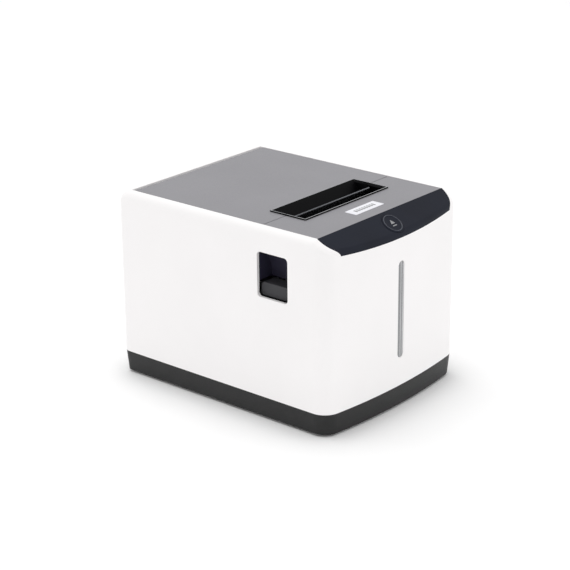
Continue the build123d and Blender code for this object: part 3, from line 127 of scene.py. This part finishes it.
def moulded(name, tones, grain_mm, relief_mm, roughness, flow_mm=38.0, **shader_values):
    """A moulded polymer: even grain from the tool, and faint broad toning where the melt flowed.

    Real grit is a tenth to a third of a millimetre across. It is drawn coarser, so that it shows.
    """
    material, tree, shader = new_material(name, **shader_values)
    place = add(tree, "ShaderNodeTexCoord")
    grain = add(tree, "ShaderNodeTexNoise", inputs={
        "Vector": (place, "Object"), "Scale": 1 / (grain_mm * MM), "Detail": 3.0, "Roughness": 0.6})
    flow = add(tree, "ShaderNodeTexNoise", inputs={
        "Vector": (place, "Object"), "Scale": 1 / (flow_mm * MM), "Detail": 2.0})
    dress(tree, shader, toned(tree, (flow, "Fac"), tones),
          (grain, "Fac"), GLOSS_BAND, roughness, (grain, "Fac"), relief_mm)
    return material


def drawn_metal(name, tones, stretch, line_mm, relief_mm, roughness):
    """A bare metal with fine lines left by the tool, stretched along the way that it was worked."""
    material, tree, shader = new_material(name, Metallic=1.0)
    place = add(tree, "ShaderNodeTexCoord")
    along = add(tree, "ShaderNodeMapping", inputs={"Vector": (place, "Object"), "Scale": stretch})
    lines = add(tree, "ShaderNodeTexNoise", inputs={
        "Vector": (along, "Vector"), "Scale": 1 / (line_mm * MM), "Detail": 4.0, "Roughness": 0.7})
    dress(tree, shader, toned(tree, (lines, "Fac"), tones),
          (lines, "Fac"), GLOSS_BAND, roughness, (lines, "Fac"), relief_mm)
    return material


def zinc_plated(name, tones, spangle_mm, relief_mm, roughness):
    """Zinc-plated sheet: flat crystals a few millimetres across, each a little lighter or duller."""
    material, tree, shader = new_material(name, Metallic=1.0)
    place = add(tree, "ShaderNodeTexCoord")
    crystals = add(tree, "ShaderNodeTexVoronoi", inputs={
        "Vector": (place, "Object"), "Scale": 1 / (spangle_mm * MM)})
    value = add(tree, "ShaderNodeSeparateColor", inputs={"Color": (crystals, "Color")})
    grain = add(tree, "ShaderNodeTexNoise", inputs={
        "Vector": (place, "Object"), "Scale": 4 / (spangle_mm * MM), "Detail": 3.0})
    dress(tree, shader, toned(tree, (value, "Red"), tones, WHOLE_BAND),
          (value, "Green"), WHOLE_BAND, roughness, (grain, "Fac"), relief_mm)
    return material


# Copper tracks on a board, in millimetres.
TRACK_WIDE = 0.22
TRACK_PITCH = 1.7
TRACK_RUN = 6.1
WEAVE = 0.9


def circuit_board(name):
    """Fibreglass board under green solder mask: copper tracks show as lighter raised lines."""
    material, tree, shader = new_material(name, Coat_Weight=0.35, Coat_Roughness=0.12)
    place = add(tree, "ShaderNodeTexCoord")
    tracks = add(tree, "ShaderNodeTexBrick", {"offset": 0.5, "squash": 0.6, "squash_frequency": 3}, {
        "Vector": (place, "Object"), "Scale": 1.0, "Mortar Smooth": 0.2,
        "Mortar Size": TRACK_WIDE * MM, "Brick Width": TRACK_RUN * MM, "Row Height": TRACK_PITCH * MM,
        "Color1": linear("#0F3B22"), "Color2": linear("#134428"), "Mortar": linear("#2E7A4A")})
    weave = add(tree, "ShaderNodeTexNoise", inputs={
        "Vector": (place, "Object"), "Scale": 1 / (WEAVE * MM), "Detail": 2.0})
    dress(tree, shader, (tracks, "Color"), (weave, "Fac"), WHOLE_BAND, (0.28, 0.42),
          (tracks, "Fac"), 0.05)
    return material


FINISHES = {
    # ---- Casing ----
    # White ABS from a spark-textured tool: a soft satin face that breaks every highlight up.
    "shell_white": moulded("Spark_textured_white_ABS", ("#F5F3F3", "#F7F5F5"), 0.9, 0.015,
                           (0.4, 0.52), 60.0),
    # The same texture in mid grey: an even, dry face with no hot spot on the lid.
    "cover_grey": moulded("Spark_textured_grey_ABS", ("#8B8A8E", "#8E8D91"), 0.8, 0.015,
                          (0.4, 0.54), 60.0, Specular_IOR_Level=0.16),
    # Charcoal ABS: near black face on, and grey where it turns away and catches the room.
    "base_dark": moulded("Matt_charcoal_ABS", ("#0F0F10", "#121213"), 0.9, 0.02, (0.38, 0.5),
                         Specular_IOR_Level=0.42),
    # Blue-black ABS with a finer grain: a deep, quiet slope under the key.
    "panel_navy": moulded("Satin_dark_blue_ABS", ("#161924", "#191D29"), 0.7, 0.01, (0.36, 0.48),
                          Specular_IOR_Level=0.12),
    # Matt black trim: swallows light, so the slot reads as a deep hole.
    "bezel_black": moulded("Matt_black_ABS_trim", ("#040406", "#060608"), 0.8, 0.006, (0.4, 0.52),
                           Specular_IOR_Level=0.06),
    # The lip's crest is painted pale grey on the black rim, and is smoother: a painted highlight, a
    # thin pale line round the slot.
    "rim_crest_highlight": moulded("Painted_highlight_grey_trim", ("#9FA0A3", "#A9AAAD"), 0.8, 0.004, (0.22, 0.3)),
    # Milky polycarbonate over the lamps: an even grey, smooth enough for a long soft highlight.
    "lens_grey": moulded("Frosted_polycarbonate", ("#868789", "#8E8F91"), 0.6, 0.01, (0.22, 0.32)),
    # The lens rib and its right-hand edge are painted paler than the dish, and are smoother: painted
    # highlights.
    "lens_highlight": moulded("Painted_highlight_polycarbonate", ("#C4C5C7", "#CFD0D2"), 0.6, 0.006,
                        (0.12, 0.2)),
    # The key's ring is painted a little paler than the cap, a painted highlight on the raised ring,
    # and it is glossier.
    "key_ring_highlight": moulded("Painted_highlight_blue_ABS", ("#343842", "#3C404B"), 0.5, 0.008, (0.26, 0.34)),
    # Fine-textured nylon: a dark grey block that stands out from its black recess.
    "lever_dark": moulded("Fine_textured_dark_nylon", ("#303033", "#37373A"), 0.6, 0.02,
                          (0.46, 0.6), Specular_IOR_Level=0.35),
    # Blue-black ABS, smoother than the panel: its hollow shows soft folds of light.
    "pocket_black": moulded("Satin_blue_black_ABS", ("#242230", "#2B2939"), 0.8, 0.01, (0.3, 0.4)),
    # Print on polyester film: clean, faintly blue white with a low sheen.
    "label_white": moulded("Printed_polyester_label", ("#E6E6EC", "#EDEDF2"), 0.5, 0.006,
                           (0.3, 0.42)),
    # Rubber feet, dry and dusty grey, with no highlight.
    "foot_rubber": moulded("Moulded_grey_rubber", ("#333335", "#3E3E40"), 0.6, 0.05, (0.7, 0.88),
                           8.0),
    # ---- Inner plastics and rubber ----
    # Glass fibre near the skin dulls black nylon: a rough, slightly mottled dark grey.
    "inner_black": moulded("Glass_filled_black_nylon", ("#1A1A1C", "#222224"), 0.5, 0.03,
                           (0.5, 0.68), 16.0),
    # Small housings and chips, plain black with a dull moulded skin.
    "part_black": moulded("Black_nylon_and_epoxy", ("#151517", "#1C1C1E"), 0.5, 0.02, (0.4, 0.55),
                          9.0),
    # Unfilled nylon sockets: warm ivory with a soft sheen.
    "socket_ivory": moulded("Moulded_ivory_nylon", ("#DAD4C2", "#E4DFD0"), 0.5, 0.01,
                            (0.32, 0.45), 9.0),
    # Acetal gears: waxy off-white, smoother than the nylon.
    "gear_acetal": moulded("Moulded_white_acetal", ("#E2E0D8", "#EDEBE4"), 0.4, 0.01, (0.28, 0.4),
                           7.0),
    # A ground roller has a velvety skin with no clear highlight.
    "platen_rubber": moulded("Ground_black_rubber", ("#222223", "#2A2A2B"), 0.45, 0.05,
                             (0.68, 0.85), 9.0),
    # Glaze over brown alumina: smooth and wet-looking.
    "head_ceramic": moulded("Glazed_alumina", ("#7E5A3C", "#8F6A4A"), 1.0, 0.002, (0.1, 0.18),
                            12.0),
    # Polyimide film over flat copper: glossy amber.
    "cable_film": moulded("Amber_polyimide_film", ("#A85F1E", "#C4762B"), 0.6, 0.004, (0.2, 0.3),
                          9.0),
    # ---- Metals ----
    # Plated sheet shows its crystals as a faint patchwork.
    "sheet_steel": zinc_plated("Zinc_plated_sheet_steel", ("#A9ACB2", "#C9CBCF"), 3.2, 0.01,
                               (0.28, 0.44)),
    # Chemically blacked steel keeps a dull dark shine.
    "screw_steel": drawn_metal("Blacked_screw_steel", ("#58585C", "#77777B"), (1, 1, 1), 0.4, 0.01,
                               (0.3, 0.42)),
    # Turning leaves rings round a shaft, so the lines run across its length.
    "turned_steel": drawn_metal("Turned_steel", ("#9D9D9B", "#C8C8C6"), (1, 0.05, 0.05), 0.3,
                                0.008, (0.18, 0.32)),
    # Hard-drawn wire under oil: darker and sleek.
    "spring_steel": drawn_metal("Oiled_spring_wire", ("#6B6B68", "#8C8C88"), (1, 1, 1), 0.3, 0.006,
                                (0.22, 0.34)),
    # Grinding marks run down the blade, whose edge is a thin grey line across the slot.
    "blade_steel": drawn_metal("Ground_stainless_steel", ("#626468", "#7C7D81"), (1, 1, 0.04),
                               0.35, 0.01, (0.2, 0.36)),
    # Deep drawing pulls the can's grain upright.
    "can_aluminium": drawn_metal("Drawn_aluminium_can", ("#9FA4AB", "#C2C6CC"), (1, 1, 0.05), 0.3,
                                 0.006, (0.22, 0.34)),
    # Brushed along its length: long bright streaks.
    "heat_sink_aluminium": drawn_metal("Brushed_aluminium", ("#A3A7AC", "#C9CCD0"), (0.04, 1, 1),
                                       0.35, 0.012, (0.26, 0.42)),
    # Green mask over glass cloth: a glossy green board with its tracks picked out.
    "board_green": circuit_board("Solder_masked_fibreglass"),
}


def finish_with(piece, slot):
    """Gives a piece its slot's finish in place of whatever it had."""
    piece.data.materials.clear()
    piece.data.materials.append(FINISHES[slot])


for part in frame["record"]["subparts"]:
    finish_with(frame["nodes"][part["node"]], part["material_slot"])

# ---- Modelling tools ----

# Edges that turn by more than BROKEN are rounded, and ones past CREASE are shaded as a crease.
BROKEN = radians(32)
CREASE = radians(35)
SEAM_JOIN = 0.001 * MM
FLAT_ENOUGH = radians(0.4)


def only(piece):
    """Leaves just this piece selected and active."""
    bpy.ops.object.select_all(action="DESELECT")
    piece.select_set(True)
    bpy.context.view_layer.objects.active = piece


def set_in_place(piece):
    """Puts a piece's place, turn and size into its mesh."""
    only(piece)
    bpy.ops.object.transform_apply(location=True, rotation=True, scale=True)


def pick(piece, kind, wanted):
    """In edit mode, selects the faces or vertices for which wanted(middle, normal) is true."""
    bpy.ops.mesh.select_mode(type="FACE" if kind == "faces" else "VERT")
    bpy.ops.mesh.select_all(action="DESELECT")
    bpy.ops.object.mode_set(mode="OBJECT")
    for part in (piece.data.polygons if kind == "faces" else piece.data.vertices):
        middle = part.center if kind == "faces" else part.co
        part.select = wanted(middle, part.normal)
    bpy.ops.object.mode_set(mode="EDIT")


def step_in(steps):
    """Insets the selected faces again and again: each step is inwards, then up, in millimetres."""
    for inward, rise in steps:
        bpy.ops.mesh.inset(thickness=inward * MM, depth=rise * MM)


def finish_modifiers(piece):
    """Applies a piece's modifiers in their order."""
    only(piece)
    for modifier in list(piece.modifiers):
        bpy.ops.object.modifier_apply(modifier=modifier.name)


def break_edges(piece, radius_mm, rounds=3):
    """Rounds every sharp edge, and shades the flats between them true."""
    bevel = piece.modifiers.new("Broken_edges", "BEVEL")
    bevel.width = radius_mm * MM
    bevel.segments = rounds
    bevel.limit_method = "ANGLE"
    bevel.angle_limit = BROKEN
    bevel.use_clamp_overlap = False
    finish_modifiers(piece)
    bpy.ops.object.shade_smooth_by_angle(angle=CREASE)
    flats = piece.modifiers.new("True_flats", "WEIGHTED_NORMAL")
    flats.weight = 100
    flats.keep_sharp = True
    finish_modifiers(piece)


def hand_over(piece, name, body, slot, *nodes):
    """Names a finished piece, gives it its slot's finish, and puts it in place of CAD nodes.

    A piece with no body is left free.
    """
    set_in_place(piece)
    piece.name = name
    piece.data.name = name
    finish_with(piece, slot)
    if body:
        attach(piece, body)
    if nodes:
        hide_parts(*nodes)
    return piece


def paint(piece, finish, wanted):
    """Gives a second finish to the faces for which wanted(middle, normal) is true."""
    piece.data.materials.append(FINISHES[finish])
    last = len(piece.data.materials) - 1
    for face in piece.data.polygons:
        if wanted(face.center, face.normal):
            face.material_index = last


def own_copy(source, name):
    """A second object with a mesh of its own."""
    piece = bpy.data.objects.new(name, source.data.copy())
    bpy.context.scene.collection.objects.link(piece)
    return piece


def joined_copy(node, name):
    """A copy of a CAD part with its loose triangles joined at their seams."""
    piece = own_copy(frame["nodes"][node], name)
    only(piece)
    bpy.ops.mesh.customdata_custom_splitnormals_clear()
    bpy.ops.object.mode_set(mode="EDIT")
    bpy.ops.mesh.select_all(action="SELECT")
    bpy.ops.mesh.remove_doubles(threshold=SEAM_JOIN)
    bpy.ops.object.mode_set(mode="OBJECT")
    return piece


# ---- Covers, lever and rocker, with their knife edges broken as a mould leaves them ----


def softened(node, name, body, slot, radius_mm):
    """A CAD part with its flats made whole and its edges rounded."""
    piece = joined_copy(node, name)
    bpy.ops.object.mode_set(mode="EDIT")
    bpy.ops.mesh.dissolve_limited(angle_limit=FLAT_ENOUGH)
    bpy.ops.object.mode_set(mode="OBJECT")
    break_edges(piece, radius_mm)
    return hand_over(piece, name, body, slot, node)


softened("lid", "Lid_cover", "lid", "cover_grey", 0.35)
softened("front_cover", "Front_cover_plate", "base", "cover_grey", 0.45)
softened("release_lever", "Release_lever_block", "latch", "lever_dark", 0.5)
softened("power_rocker", "Power_rocker_cap", "rocker", "part_black", 0.3)


def flexing(node, name, body, slot):
    """A smooth copy of a springy part."""
    piece = joined_copy(node, name)
    bpy.ops.object.shade_smooth_by_angle(angle=CREASE)
    return hand_over(piece, name, body, slot, node)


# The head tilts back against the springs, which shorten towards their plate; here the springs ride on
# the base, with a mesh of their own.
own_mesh(flexing("head_springs", "Head_springs_wire", "base", "spring_steel"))
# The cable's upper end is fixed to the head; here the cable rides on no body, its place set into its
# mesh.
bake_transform(flexing("head_cable", "Head_cable_ribbon", None, "cable_film"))

# ---- Paper slot rim and funnel ----
TOP = 136.5
RIM_TOP = 137.5
SEAM_FRONT = -34.1
SEAM_REAR = -33.5
SLOT_MIDDLE_Y = -35.35
RIM_SIZE = (90.2, 30.7)
RIM_WIDTH = 1.1
RIM_WALL = 0.9
RIM_EDGE = 0.3
THROAT_STEP = 1.4
THROAT_BOTTOM = 126.0
THROAT_FRONT = -37.0
THROAT_REAR = -30.2


def slot_rim():
    """One frame for the whole slot: a narrow raised lip, then a throat that narrows downwards."""
    bpy.ops.mesh.primitive_plane_add(size=1, location=(0, SLOT_MIDDLE_Y * MM, RIM_TOP * MM))
    rim = bpy.context.object
    rim.scale = (RIM_SIZE[0] * MM, RIM_SIZE[1] * MM, 1)
    set_in_place(rim)
    bpy.ops.object.mode_set(mode="EDIT")
    bpy.ops.mesh.select_all(action="SELECT")
    step_in(((RIM_WIDTH, 0), (THROAT_STEP, -THROAT_STEP)))
    drop = THROAT_BOTTOM - RIM_TOP + THROAT_STEP
    bpy.ops.mesh.extrude_region_move(TRANSFORM_OT_translate={"value": (0, 0, drop * MM)})
    low_edge = THROAT_BOTTOM * MM + NEAR
    half_depth = RIM_SIZE[1] / 2 - RIM_WIDTH - THROAT_STEP
    for side, target in ((-1, THROAT_FRONT), (1, THROAT_REAR)):
        pick(rim, "vertices", lambda at, _: at.z < low_edge and (at.y - SLOT_MIDDLE_Y * MM) * side > 0)
        shift = target - (SLOT_MIDDLE_Y + side * half_depth)
        bpy.ops.transform.translate(value=(0, shift * MM, 0))
    pick(rim, "faces", lambda at, normal: at.z < low_edge and abs(normal.z) > ROUGHLY)
    bpy.ops.mesh.delete(type="FACE")
    bpy.ops.object.mode_set(mode="OBJECT")
    wall = rim.modifiers.new("Wall", "SOLIDIFY")
    wall.thickness = RIM_WALL * MM
    wall.offset = -1.0
    wall.use_even_offset = True
    finish_modifiers(rim)
    break_edges(rim, RIM_EDGE)
    return rim


def cut_rim(source, name, body, seam_y, front, node):
    """Keeps the front or the rear part of the rim, closed where the lid's seam cuts it."""
    piece = own_copy(source, name)
    only(piece)
    bpy.ops.object.mode_set(mode="EDIT")
    bpy.ops.mesh.select_all(action="SELECT")
    bpy.ops.mesh.bisect(plane_co=(0, seam_y * MM, 0), plane_no=(0, 1, 0), use_fill=True,
                        clear_outer=front, clear_inner=not front)
    bpy.ops.object.mode_set(mode="OBJECT")
    hand_over(piece, name, body, "bezel_black", node)
    # The top faces of the lip get the pale grey: a painted highlight along the crest.
    paint(piece, "rim_crest_highlight", lambda at, normal: (
        at.z > RIM_TOP * MM - NEAR and normal.z > SQUARELY))


whole_rim = slot_rim()
cut_rim(whole_rim, "Slot_rim_front", "base", SEAM_FRONT, True, "front_bezel")
cut_rim(whole_rim, "Slot_rim_rear", "lid", SEAM_REAR, False, "lid_bezel")
bpy.data.objects.remove(whole_rim)

# ---- Light bar lens ----
LENS_HALF = 3.1
LENS_LOW = 40.1
LENS_REACH = 63.0
LENS_BACK = -93.3
LENS_DEPTH = 2.2
LENS_CHAMFER = (0.45, 0.3)
LENS_DISH = (0.5, -0.25)
LENS_EDGE = 0.1
RIB_HALF = 0.35
RIB_DRAFT = 0.06
RIB_RISE = 0.22
LENS_LIT_SIDE = 2.2


def light_lens():
    """A long rounded lens: chamfered edge, shallow dish, and a narrow rib up the middle."""
    bpy.ops.mesh.primitive_cylinder_add(
        vertices=48, radius=LENS_HALF * MM, depth=LENS_DEPTH * MM, rotation=(radians(90), 0, 0),
        location=(0, (LENS_BACK - LENS_DEPTH / 2) * MM, LENS_LOW * MM))
    lens = bpy.context.object
    set_in_place(lens)
    bpy.ops.object.mode_set(mode="EDIT")
    pick(lens, "vertices", lambda at, _: at.z > LENS_LOW * MM + NEAR)
    bpy.ops.transform.translate(value=(0, 0, LENS_REACH * MM))
    pick(lens, "faces", lambda at, normal: normal.y < -ROUGHLY)
    step_in((LENS_CHAMFER, LENS_DISH))
    for side in (-1, 1):
        bpy.ops.mesh.bisect(plane_co=(side * RIB_HALF * MM, 0, 0), plane_no=(1, 0, 0))
        pick(lens, "faces", lambda at, normal: normal.y < -SQUARELY)
    front = min(v.co.y for v in lens.data.vertices)
    pick(lens, "faces", lambda at, normal: (
        normal.y < -SQUARELY and abs(at.x) < RIB_HALF * MM - NEAR and at.y > front))
    step_in(((RIB_DRAFT, RIB_RISE),))
    bpy.ops.object.mode_set(mode="OBJECT")
    break_edges(lens, LENS_EDGE, rounds=2)
    return lens


light_bar_lens = hand_over(light_lens(), "Light_bar_lens", "base", "lens_grey", "light_bar")
# The rib and the lens's right-hand edge get the paler grey: painted highlights.
paint(light_bar_lens, "lens_highlight", lambda at, normal: (
    normal.y < -PARTLY and abs(at.x) < RIB_HALF * MM + NEAR))
paint(light_bar_lens, "lens_highlight", lambda at, normal: (
    normal.y < -PARTLY and at.x > LENS_LIT_SIDE * MM))

# ---- Feed key ----
PANEL_TILT = radians(33.01)
KEY_AT = (0, -88.189, 130.725)
KEY_RADIUS = 8.15
KEY_TALL = 4.4
KEY_SINK = 2.0
KEY_EDGE = 0.09
# A margin, a flat rim, the ring's two sides with its crest between them, and a slight dish.
KEY_STEPS = ((0.4, 0.0), (0.5, 0.0), (0.12, 0.28), (0.5, 0.0), (0.12, -0.28), (2.6, -0.06))
# The ring lies this far from a point over the key's middle, which stands RING_LIFT off the panel.
RING_BAND = (6.5, 7.2)
RING_LIFT = 0.4


def on_panel(up_slope, lift):
    """A point on the panel, from the middle of the key: so far up the slope, and off its face."""
    return Vector((KEY_AT[0], KEY_AT[1] + up_slope * cos(PANEL_TILT) - lift * sin(PANEL_TILT),
                   KEY_AT[2] + up_slope * sin(PANEL_TILT) + lift * cos(PANEL_TILT))) * MM


def panel_facing(normal):
    """Whether a face looks straight out of the control panel."""
    return normal.dot(Vector((0, -sin(PANEL_TILT), cos(PANEL_TILT)))) > SQUARELY


def round_key():
    """A round cap with a soft rim and a raised ring around its middle."""
    bpy.ops.mesh.primitive_cylinder_add(
        vertices=96, radius=KEY_RADIUS * MM, depth=KEY_TALL * MM, rotation=(PANEL_TILT, 0, 0),
        location=on_panel(0, -KEY_SINK))
    key = bpy.context.object
    set_in_place(key)
    bpy.ops.object.mode_set(mode="EDIT")
    pick(key, "faces", lambda at, normal: panel_facing(normal))
    step_in(KEY_STEPS)
    bpy.ops.object.mode_set(mode="OBJECT")
    break_edges(key, KEY_EDGE, rounds=2)
    return key


def on_ring(at, normal):
    """Whether a face of the key belongs to its raised ring."""
    reach = (at - on_panel(0, RING_LIFT)).length
    return normal.z > PARTLY and RING_BAND[0] * MM < reach < RING_BAND[1] * MM


feed_key_cap = hand_over(round_key(), "Feed_key_cap", "key", "panel_navy", "feed_key")
# The raised ring gets the paler blue: a painted highlight.
paint(feed_key_cap, "key_ring_highlight", on_ring)

MARK_THICK = 0.24
MARK_EDGE = 0.07
MARK_LIFT = 0.2
ARROW_RADIUS = 2.3
ARROW_UP = 0.7
BAR_UP = -2.1
BAR_SIZE = (4.0, 0.8, MARK_THICK)


def feed_mark():
    """The plain sign for feeding paper: an arrow head over a short bar, stood just off the key."""
    bpy.ops.mesh.primitive_cylinder_add(
        vertices=3, radius=ARROW_RADIUS * MM, depth=MARK_THICK * MM, rotation=(PANEL_TILT, 0, 0),
        location=on_panel(ARROW_UP, MARK_LIFT))
    head = bpy.context.object
    bpy.ops.mesh.primitive_cube_add(
        size=1, rotation=(PANEL_TILT, 0, 0), location=on_panel(BAR_UP, MARK_LIFT))
    bar = bpy.context.object
    bar.scale = tuple(size * MM for size in BAR_SIZE)
    only(head)
    bar.select_set(True)
    bpy.ops.object.join()
    mark = bpy.context.object
    set_in_place(mark)
    break_edges(mark, MARK_EDGE, rounds=2)
    return mark


hand_over(feed_mark(), "Feed_mark", "key", "lens_grey")

# ---- Rubber feet ----
FOOT_RADIUS = 6.0
FOOT_TALL = 2.5
FOOT_EDGE = 0.25
FEET_AT = ((-56, -76), (56, -76), (-56, 80), (56, 80))
# A flat rim, a groove's two sides with its floor between them, and a dimple.
FOOT_STEPS = ((1.3, 0.0), (0.3, -0.5), (0.9, 0.0), (0.3, 0.5), (1.6, -0.3))


def rubber_foot():
    """A moulded foot: rounded rim, a ring groove in its sole, and a dimple in the middle."""
    bpy.ops.mesh.primitive_cylinder_add(
        vertices=64, radius=FOOT_RADIUS * MM, depth=FOOT_TALL * MM,
        location=(FEET_AT[0][0] * MM, FEET_AT[0][1] * MM, FOOT_TALL / 2 * MM))
    foot = bpy.context.object
    set_in_place(foot)
    bpy.ops.object.mode_set(mode="EDIT")
    pick(foot, "faces", lambda at, normal: normal.z < -ROUGHLY)
    step_in(FOOT_STEPS)
    bpy.ops.object.mode_set(mode="OBJECT")
    break_edges(foot, FOOT_EDGE)
    return foot


first_foot = rubber_foot()
for number, (foot_x, foot_y) in enumerate(FEET_AT, 1):
    next_foot = own_copy(first_foot, "foot")
    next_foot.location = ((foot_x - FEET_AT[0][0]) * MM, (foot_y - FEET_AT[0][1]) * MM, 0)
    hand_over(next_foot, f"Rubber_foot_{number}", "base", "foot_rubber", "rubber_feet")
bpy.data.objects.remove(first_foot)

# ---- Label with plain printed bars ----
LABEL_Y = -64.7
LABEL_SIZE = (30.5, 9.8, 0.2)
LABEL_CORNER = 0.6
PRINT_STEPS = 8
PRINT_PITCH = 2.7
PRINT_SIZE = (1.7, 3.6, 0.03)
PRINT_INSET = 0.1
PRINT_LIFT = 0.205


def label_film():
    """A thin film label with rounded corners."""
    bpy.ops.mesh.primitive_cube_add(
        size=1, location=(0, LABEL_Y * MM, (TOP + LABEL_SIZE[2] / 2) * MM))
    film = bpy.context.object
    film.scale = tuple(size * MM for size in LABEL_SIZE)
    set_in_place(film)
    bpy.ops.object.mode_set(mode="EDIT")
    bpy.ops.mesh.select_mode(type="EDGE")
    bpy.ops.mesh.select_all(action="DESELECT")
    bpy.ops.object.mode_set(mode="OBJECT")
    for edge in film.data.edges:
        ends = [film.data.vertices[v].co for v in edge.vertices]
        edge.select = abs(ends[0].z - ends[1].z) > NEAR
    bpy.ops.object.mode_set(mode="EDIT")
    bpy.ops.mesh.bevel(offset=LABEL_CORNER * MM, segments=4)
    bpy.ops.object.mode_set(mode="OBJECT")
    return film


hand_over(label_film(), "Label_film", "base", "label_white", "front_label")


def printed_bars():
    """A row of plain grey bars of even pitch, in place of any wording."""
    start = -(PRINT_STEPS - 1) * PRINT_PITCH / 2
    bpy.ops.mesh.primitive_cube_add(
        size=1, location=(start * MM, LABEL_Y * MM, (TOP + PRINT_LIFT) * MM))
    bars = bpy.context.object
    bars.scale = tuple(size * MM for size in PRINT_SIZE)
    set_in_place(bars)
    bpy.ops.object.mode_set(mode="EDIT")
    pick(bars, "faces", lambda at, normal: normal.z > ROUGHLY)
    step_in(((PRINT_INSET, 0),))
    bpy.ops.object.mode_set(mode="OBJECT")
    row = bars.modifiers.new("Row", "ARRAY")
    row.count = PRINT_STEPS
    row.use_relative_offset = False
    row.use_constant_offset = True
    row.constant_offset_displace = (PRINT_PITCH * MM, 0, 0)
    finish_modifiers(bars)
    return bars


hand_over(printed_bars(), "Label_print", "base", "lens_grey")

# ---- Floor, air and lights, in metres and watts ----
MIDDLE = (0.0, 0.0, 0.07)
FLOOR_SIZE = 12.0
FLOOR_DROP = 0.0003
FIBRE_SCALE = 6.0
AIR_STRENGTH = 0.9


def studio_floor():
    """A wide sheet of matt white paper, just under the feet."""
    bpy.ops.mesh.primitive_plane_add(size=FLOOR_SIZE, location=(0, 0, -FLOOR_DROP))
    floor = bpy.context.object
    floor.name = "Studio_floor"
    # Uncoated paper: no shine, and a tone that drifts very slightly from place to place.
    paper, tree, shader = new_material("Matt_white_paper", Roughness=0.9)
    place = add(tree, "ShaderNodeTexCoord")
    fibre = add(tree, "ShaderNodeTexNoise", inputs={
        "Vector": (place, "Object"), "Scale": FIBRE_SCALE, "Detail": 2.0})
    mixed, colour = toned(tree, (fibre, "Fac"), ("#FCFCFC", "#FEFEFE"))
    tree.links.new(mixed.outputs[colour], shader.inputs["Base Color"])
    floor.data.materials.append(paper)


def soft_light(name, place, size, power):
    """A large square studio panel, turned to face the middle of the printer."""
    lamp = bpy.data.lights.new(name, "AREA")
    lamp.shape = "SQUARE"
    lamp.size = size
    lamp.energy = power
    holder = bpy.data.objects.new(name, lamp)
    bpy.context.scene.collection.objects.link(holder)
    holder.location = place
    holder.rotation_euler = (Vector(MIDDLE) - Vector(place)).to_track_quat("-Z", "Y").to_euler()


scene = bpy.context.scene
studio_floor()
world = bpy.data.worlds.new("Studio_air")
scene.world = world
world.use_nodes = True
world.node_tree.nodes["Background"].inputs["Color"].default_value = linear("#FFFFFF")
world.node_tree.nodes["Background"].inputs["Strength"].default_value = AIR_STRENGTH
scene.view_settings.view_transform = "Standard"

soft_light("Key_panel", (-0.05, 0.5, 2.0), size=1.4, power=10.0)
soft_light("Front_panel", (1.3, -1.5, 0.8), size=1.0, power=2.0)

# ---- Camera ----
CAMERA_AT = Vector((-0.8960, -0.7527, 0.5093))
CAMERA_AZIMUTH = radians(-49.764)
CAMERA_ELEVATION = radians(20.731)
CAMERA_ROLL = radians(-0.558)
LENS_MM = 112.46
FILM_MM = 36.0
NEAREST = 0.01


def place_camera():
    """A camera at its spot, aimed by its azimuth, elevation and roll."""
    right = Vector((cos(CAMERA_AZIMUTH), sin(CAMERA_AZIMUTH), 0))
    forward = Vector((-sin(CAMERA_AZIMUTH) * cos(CAMERA_ELEVATION),
                      cos(CAMERA_AZIMUTH) * cos(CAMERA_ELEVATION), -sin(CAMERA_ELEVATION)))
    up = right.cross(forward)
    across = cos(CAMERA_ROLL) * right + sin(CAMERA_ROLL) * up
    upward = -sin(CAMERA_ROLL) * right + cos(CAMERA_ROLL) * up
    lens = bpy.data.cameras.new("Studio_camera")
    lens.lens = LENS_MM
    lens.sensor_width = FILM_MM
    lens.clip_start = NEAREST
    camera = bpy.data.objects.new("Studio_camera", lens)
    scene.collection.objects.link(camera)
    turned = Matrix((across, upward, -forward)).transposed().to_4x4()
    camera.matrix_world = Matrix.Translation(CAMERA_AT) @ turned
    scene.camera = camera


place_camera()
